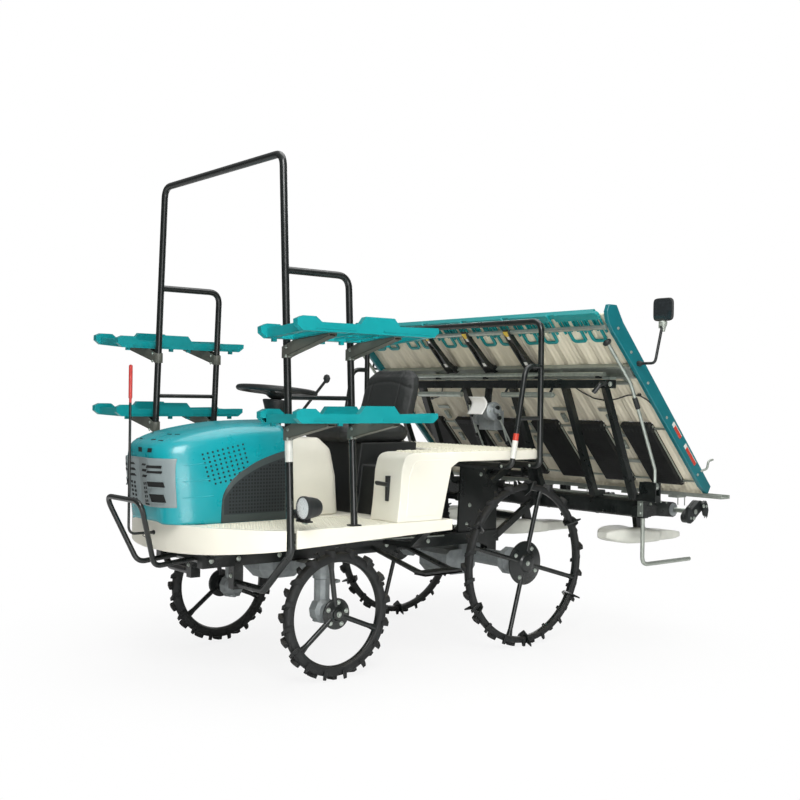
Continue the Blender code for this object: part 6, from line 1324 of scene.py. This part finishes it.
def mirror(name, side, root):
    """Mirror with its arm, clamp and dark glass."""
    y = side * 1.118
    foot, centre = P(root.x - 0.060, y, root.z + 0.213), P(root.x - 0.060, y, root.z + 0.2645)
    bm, clasp, glass_bm = fresh(3)

    def oval(dx, wide, tall):
        return [centre + P(dx, squared(c, 0.35) * wide, squared(s, 0.35) * tall) for c, s in circle(48)]
    tube(bm, [root + P(0, side * 1.010, 0), root + P(0, y, 0), foot], 0.0070, 0.024, 14)
    turned(bm, [(0.013, 0), (0.014, 0.012), (0.010, 0.022), (0.0075, 0.030)], root + P(0, side * 1.0152, 0),
           (0, side, 0), 20)
    skin(bm, [oval(dx, 0.0595 * s, 0.0570 * s) for dx, s in (
        (0.0068, 0.92), (0.0040, 0.985), (0.0, 1.0), (-0.006, 0.97), (-0.011, 0.88), (-0.0138, 0.72))])
    turned(clasp, [(0.0, -0.058), (0.009, -0.056), (0.012, -0.040), (0.0185, -0.022), (0.0200, -0.010),
                   (0.014, -0.004), (0.0, -0.003)], foot, UP, 24)
    box(clasp, (root.x - 0.078, y - 0.016, root.z + 0.172), (root.x - 0.044, y - 0.010, root.z + 0.206))
    bolt(clasp, (root.x - 0.040, y, root.z + 0.190), (1, 0, 0))
    skin(glass_bm, [oval(dx, 0.0535, 0.0510) for dx in (0.0050, 0.0076)])
    piece("mirror_" + name, bm, "black_plastic", "tank", "dark_teal_paint", smooth=45)
    piece("mirror_clamp_" + name, clasp, "dull_zinc", "tank", smooth=40)
    piece("mirror_glass_" + name, glass_bm, "mirror_glass", "tank", smooth=30)


def rails():
    face, end = 1.0145, LONG * 0.90
    for name, side in FLANKS:
        refined("tank_rail_" + name, "rail_teal", 0.0045, 3, lambda bm: drop(bm, lambda x, y, z: abs(y) > 1.0162))
        mirror(name, side, on_tank(LONG * 0.27, 0, 0))
        # reflector strips low on the rail, screws along it, and the hook at its foot
        red, white, bits = fresh(3)
        for d0, d1 in ((0.735, 0.835), (0.885, 1.025)):
            tank_box(white, d0, d0 + 0.022, side * face, side * 1.0162, -0.024, -0.004)
            tank_box(red, d0 + 0.023, d1, side * face, side * 1.0162, -0.024, -0.004)
            tank_box(white, d0 + 0.002, d1, side * face, side * 1.0160, -0.0275, -0.0248)
        for d in (0.10, 0.25, 0.45, 0.68, 1.08):
            bolt(bits, on_tank(d, side * 1.0150, 0.004), (0, side, 0), 0.0055)
        tube(bits, [on_tank(d, side * y, out) for d, y, out in (
            (end, 1.012, -0.030), (end, 1.040, -0.050), (end - 0.035, 1.052, -0.075), (end - 0.020, 1.058, -0.100))],
            0.0062, 0.02, 12)
        piece("rail_red_" + name, red, "reflector_red", "tank", "dark_teal_paint", bevel=0.0004)
        piece("rail_white_" + name, white, "reflector_white", "tank", "dark_teal_paint", bevel=0.0003)
        piece("rail_bits_" + name, bits, "dull_zinc", "tank", smooth=40)


def plate_studs(bm):
    for y in ROWS:
        for across in (-0.085, 0.085):
            turned(bm, [(0.010, -0.002), (0.0095, 0.006), (0.006, 0.0085), (0.0, 0.009)],
                   on_tank(0.165, y + across, 0.004), FACE, 16)


refined("tank_plates", "plate_cream", 0.0012, 2, plate_studs)
belts()
channel()
latches()
combs()
rails()


# ---- planting section ----
ROTOR_PLACE, POSTS, POST_SLIM = P(-1.0, 0, 0.66), (0.554, 0.837), 0.66
PLACE_HEAD = P(-0.200, 0.060, 1.195)


def slim_posts(bm):
    """Middle and outer uprights drawn in round their own centre lines, and the ends of the beam."""
    for v in bm.verts:
        for post in POSTS:
            if 0.785 < v.co.z < 1.330 and abs(abs(v.co.y) - post) < 0.034:
                line = -0.215 - 0.246 * (1.345 - v.co.z) / (1.345 - 0.767)
                v.co.x = line + (v.co.x - line) * POST_SLIM
                v.co.y = math.copysign(post + (abs(v.co.y) - post) * POST_SLIM, v.co.y)
    for side in (1, -1):
        tube(bm, [(-0.215, side * 0.872, 1.345), (-0.150, side * 0.872, 1.345), (-0.130, side * 0.845, 1.300)], 0.012,
             0.02, 14)


def drive_head(nuts, dark, shiny):
    """Pale cover with the casting, pulleys, levers and rods behind it."""
    cast, white = fresh(2)
    rings = []
    for t in [k / 12 for k in range(13)]:
        a = -0.7 + 1.9 * t
        rings.append([P(-0.070 - 0.075 * math.cos(a), -0.062 + 0.124 * j / 8 + 0.020 * t,
                        1.285 - 0.115 * t + 0.010 * math.sin(a * 2)) for j in range(9)])
    skin(white, rings, loop=False)
    turned(cast, [(0.020, -0.045), (0.048, -0.040), (0.052, -0.010), (0.052, 0.012), (0.040, 0.020), (0.018, 0.026),
                  (0.018, 0.050), (0.0, 0.052)], PLACE_HEAD, (0.2, 1, 0.1), 32)
    turned(cast, [(0.0, -0.02), (0.030, -0.018), (0.034, 0.0), (0.030, 0.018), (0.0, 0.02)], (-0.215, -0.075, 1.150),
           (0, 1, 0), 28)
    box(cast, (-0.275, -0.060, 1.090), (-0.205, 0.070, 1.200))
    strap(dark, [(-0.245, -0.02, 1.345), (-0.235, -0.02, 1.24), (-0.245, -0.02, 1.13)], 0.050, 0.010)
    for y, x0, z0, x1, z1 in ((0.105, -0.19, 1.215, -0.27, 1.02), (0.130, -0.18, 1.16, -0.33, 0.93),
                              (-0.110, -0.20, 1.17, -0.30, 0.98), (-0.130, -0.19, 1.24, -0.26, 1.06)):
        rod(shiny, (x0, y, z0), (x1, y, z1), 0.0048, 10)
        for x, z in ((x0, z0), (x1, z1)):
            turned(dark, [(0.0, -0.008), (0.011, -0.008), (0.013, 0.0), (0.011, 0.008), (0.0, 0.008)], (x, y, z),
                   (0, 1, 0), 18)
    for c, s in circle(6):
        bolt(nuts, PLACE_HEAD + P(0.036 * c, 0.013, 0.036 * s), (0.2, 1, 0.1), 0.005)
    piece("drive_cover", white, "white_plastic", "planter", "cream_plastic", smooth=60, wall=0.003)
    piece("drive_castings", cast, "casting", "planter", bevel=0.002, smooth=35)


def planter_frame():
    refined("planter_frame", "black_paint", 0.0035, 3, slim_posts)
    nuts, dark, shiny = fresh(3)
    x, z = -0.168, 1.288
    for side in (1, -1):
        # clamps on the beam ends and the short shiny tubes ahead of it
        for y in (0.868, 0.898):
            bolt(nuts, (-0.194, side * y, 1.345), (1, 0, 0), 0.009)
        box(nuts, (-0.238, side * 0.850, 1.368), (-0.192, side * 0.900, 1.380))
        rod(shiny, (x, side * 0.165, z), (x, side * 0.530, z), 0.0145, 20)
        for y in (side * 0.180, side * 0.510):
            strap(dark, [(x, y, z), (-0.190, y, 1.320), (-0.205, y, 1.345)], 0.014, 0.006)
        turned(shiny, [(0.0, 0), (0.0135, 0.0), (0.0135, 0.008), (0.006, 0.010), (0.006, 0.020)],
               (x, side * 0.530, z), (0, side, 0), 20)
    rod(shiny, (-0.196, -0.860, 1.3935), (-0.196, 0.860, 1.3935), 0.0120, 20)
    for y in (-0.82, -0.40, 0.0, 0.40, 0.82):
        box(dark, (-0.208, y - 0.012, 1.3740), (-0.184, y + 0.012, 1.3850))
    drive_head(nuts, dark, shiny)
    piece("planter_dark_bits", dark, "black_paint", "planter", bevel=0.001)
    piece("planter_bolts", nuts, "zinc", "planter", bevel=0.0004)
    piece("planter_rods", shiny, "zinc", "planter", smooth=45)


def planting_cases():
    """The cases without the CAD stands, which are drawn finer, and what is screwed to them."""
    refined("planting_cases", "black_paint", 0.0035, 2, lambda bm: drop(
        bm, lambda x, y, z: abs(y) > 0.86 and z < 0.64 and (z < 0.55 or x < -0.47)))
    shiny, nuts, cast, gates = fresh(4)
    for side in (1, -1):
        y = side * 0.905
        tube(shiny, [(-0.455, y, 0.799), (-0.455, y, 0.425), (-0.8499, y, 0.425)], 0.0108, 0.044, 18)
        for z in (0.735, 0.690):
            bolt(nuts, (-0.434, y, z), (1, 0, 0), 0.008)
        box(nuts, (-0.4345, y - 0.017, 0.672), (-0.4310, y + 0.017, 0.752))
        for x in (-0.500, -0.560):
            for z in (0.725, 0.685):
                bolt(nuts, (x, side * 0.8705, z), (0, side, 0), 0.007)
    for _, y in UNIT_ROWS:
        for s in (1, -1):
            # cover screws, the round end cover of each case, and the seedling gates under the slide rail
            for t in [k / 7 for k in range(8)]:
                bolt(nuts, (-0.60 - 0.34 * t, y + s * 0.0352, 0.738 - 0.035 * t), (0, s, 0), 0.0045)
            turned(cast, [(0.036, 0), (0.036, 0.004), (0.024, 0.009), (0.017, 0.011)],
                   ROTOR_PLACE + P(0, y + s * 0.0350, 0), (0, s, 0), 32)
            gate = y + s * 0.162
            box(gates, (-0.905, gate - 0.030, 0.7570), (-0.8270, gate + 0.030, 0.7450))
            for finger in (gate - 0.022, gate + 0.022):
                box(gates, (-0.905, finger - 0.0015, 0.7580), (-0.899, finger + 0.0015, 0.700))
    for x in (-0.552, -0.508):
        rod(shiny, (x, -0.80, 0.7585), (x, 0.80, 0.7585), 0.0042, 10)
    piece("stand_rods", shiny, "dull_zinc", "planter", smooth=45)
    piece("case_bolts", nuts, "zinc", "planter", bevel=0.0004)
    piece("case_ends", cast, "casting", "planter", smooth=35)
    piece("seedling_gates", gates, "dull_zinc", "planter", bevel=0.0006)


def rotors():
    """Two-armed planting rotors, drawn level and then leaned."""
    lean = Matrix.Translation(ROTOR_PLACE) @ Matrix.Rotation(math.radians(35), 4, "Y")
    long, end = 0.0525, 0.030
    arm = ((1.1, -0.5), (1.75, -0.3), (1.72, 0.6), (1.50, 1.6), (0.95, 2.45), (0.78, 1.9), (0.95, 0.6))
    for name, y in UNIT_ROWS:
        cast, dark, shiny = fresh(3)
        rod(shiny, ROTOR_PLACE + P(0, y - 0.187, 0), ROTOR_PLACE + P(0, y + 0.187, 0), 0.0138, 24)
        for side in (1, -1):
            middle = y + side * 0.162
            case, arms, forks = fresh(3)
            skin(case, [[P(centre + (end - shrink) * c, middle + across, (end - shrink) * s)
                         for centre, start in ((long, -0.25), (-long, 0.25)) for c, s in circle(14, start, 0.5, True)]
                        for across, shrink in ((-0.0245, 0.004), (-0.0225, 0.0), (-0.004, 0.0), (-0.003, 0.002),
                                               (0.003, 0.002), (0.004, 0.0), (0.0225, 0.0), (0.0245, 0.004))])
            low, face = middle + side * 0.0205, middle + side * 0.0445
            for tip in (1, -1):
                def at(a, across, b):
                    return P(tip * long * a, across, tip * end * b)
                skin(arms, [[at(a, low + side * out, b) for a, b in arm] for out in (0.0, 0.0235)])
                for fork in (-0.0065, 0.0065):
                    sweep(forks, [at(a, low + side * (0.012 + fork), b)
                                  for a, b in ((1.30, 1.2), (1.02, 2.2), (0.80, 2.50))], 0.0026, 8)
                bolt(forks, at(1, face, -0.05), (0, side, 0), 0.007)
                bolt(forks, at(1.4, face, 0.55), (0, side, 0), 0.005)
            for part, into in ((case, cast), (arms, dark), (forks, shiny)):
                merge(into, part, lean)
        body = "planting_rotor_" + name
        piece("rotor_case_" + name, cast, "rotor_dark", body, bevel=0.001, smooth=35, stands=body)
        piece("rotor_arms_" + name, dark, "rotor_dark", body, bevel=0.003, segments=3)
        piece("rotor_forks_" + name, shiny, "zinc", body, smooth=40)


def floats():
    """Moulded floats with a shallow groove along the top, and the mount on each."""
    # Share of the length and width, and shares of the height at foot and top.
    table = ((0.00, 0.30, 0.55, 1.00), (0.06, 0.62, 0.34, 1.24), (0.20, 0.92, 0.08, 1.36), (0.38, 1.0, 0.0, 1.30),
             (0.50, 1.0, 0.0, 1.08), (0.62, 0.96, 0.0, 0.98), (0.70, 0.72, 0.0, 0.92), (0.90, 0.68, 0.0, 0.75),
             (1.0, 0.60, 0.12, 0.60))
    foot, tall = 0.500, 0.065
    for name, y in UNIT_ROWS:
        front, rear = (-0.180, -0.890) if y == 0 else (-0.445, -1.030)
        bm, mount = fresh(2)
        rings = []
        for along, wide, low, high in dense_spline(table, 5):
            x, half = front - (front - rear) * clamp(along, 0, 1), 0.100 * min(wide, 1.0)
            z0, z1 = foot + tall * max(low, 0), foot + tall * min(high, 1.36)
            ring = []
            for c, s in circle(40):
                across = squared(c, 0.28) * half
                z = (z0 + z1) / 2 + squared(s, 0.40) * (z1 - z0) / 2
                if s > 0.35 and 0.10 < along < 0.95 and abs(across) < 0.9 * half:
                    z -= 0.007 * dent(across / half, 0.30)
                ring.append(P(x, y + across, z))
            rings.append(ring)
        skin(bm, rings)
        piece("float_skid_" + name, bm, "float_grey", "planter", smooth=40, stands="float_" + name)
        x = (front + rear) / 2
        for dx in (-0.055, 0.040):
            bolt(mount, (x + dx, y, 0.5655), UP, 0.008)
        box(mount, (x - 0.070, y - 0.026, 0.5640), (x + 0.056, y + 0.026, 0.5672))
        piece("float_mount_" + name, mount, "zinc", "planter", bevel=0.0005)


def marker_arms():
    rise, run = 0.720, 0.385
    for name, side in FLANKS:
        pivot, body = P(-0.445, side * 0.985, 0.830), "marker_arm_" + name
        bm, dark = fresh(2)
        tube(bm, [pivot + P(run * a, 0, rise * b) for a, b in ((0, 0), (0, 0.12), (0.28, 0.45), (0.52, 0.72), (1, 1))],
             0.0088, 0.060, 18)
        turned(bm, [(0.0, -0.0125), (0.019, -0.0125), (0.0205, -0.010), (0.0205, 0.010), (0.019, 0.0125),
                    (0.0, 0.0125)], pivot, (1, 0, 0), 28)
        turned(dark, [(0.0, -0.002), (0.022, 0.0), (0.023, 0.004), (0.010, 0.007), (0.0, 0.020)],
               pivot + P(run - 0.006, 0, rise - 0.008), (0.78, 0, 0.62), 28)
        turned(dark, [(0.0115, -0.030), (0.013, -0.028), (0.013, 0.028), (0.0115, 0.030)],
               pivot + P(run * 0.40, 0, rise * 0.585), (0.47, 0, 0.88), 20)
        piece("marker_rod_" + name, bm, "zinc", body, smooth=45, stands=body)
        piece("marker_fittings_" + name, dark, "black_plastic", body, smooth=40)


planter_frame()
planting_cases()
rotors()
floats()
marker_arms()


# ---- nodes that keep their own shape, with soft edges ----
PLAIN = {
    "engine_block": ("casting", 0.006), "front_axle_case": ("casting", 0.006), "rear_axle_case": ("casting", 0.005),
    "knuckle_left": ("casting", 0.004), "knuckle_right": ("casting", 0.004), "lift_cylinder": ("black_paint", 0.002),
    "lift_rod": ("bright_rod", 0.001), "lower_link": ("black_paint", 0.003), "upper_link": ("black_paint", 0.003),
    "cylinder_bracket": ("black_paint", 0.002), "slide_rail": ("dull_zinc", 0.001),
    "steering_column": ("black_plastic", 0.003), "seat_base": ("black_plastic", 0.008)}
# Finish of every other node, by the start of its name.
LOOKS = {"planting_rotor": "casting", "main_frame": "black_paint", "plant": "black_paint",
         "rack": "black_paint", "rear_rail": "black_paint", "step_deck": "cream", "rear_deck": "cream",
         "steering_console": "cream", "steering_wheel": "black_plastic", "headlamp": "black_plastic",
         "seat_": "seat_vinyl", "bonnet": "bonnet_teal", "centre_marker": "red",
         "tank_plates": "plate_cream", "feed_belts": "belt", "tank_rail": "rail_teal", "seedling_combs": "comb_teal",
         "tank_channel": "dull_zinc", "seedling_tray": "tray_teal", "float_": "float_grey", "marker_arm": "zinc",
         "wheel_": "tyre"}
for node, (mat, edge) in PLAIN.items():
    refined(node, mat, edge)
for node, ob in frame["nodes"].items():
    look = PLAIN[node][0] if node in PLAIN else next(mat for start, mat in LOOKS.items() if node.startswith(start))
    if not ob.data.materials:
        ob.data.materials.append(MATS[look])
    for k in range(len(ob.data.materials)):
        ob.data.materials[k] = MATS[look]
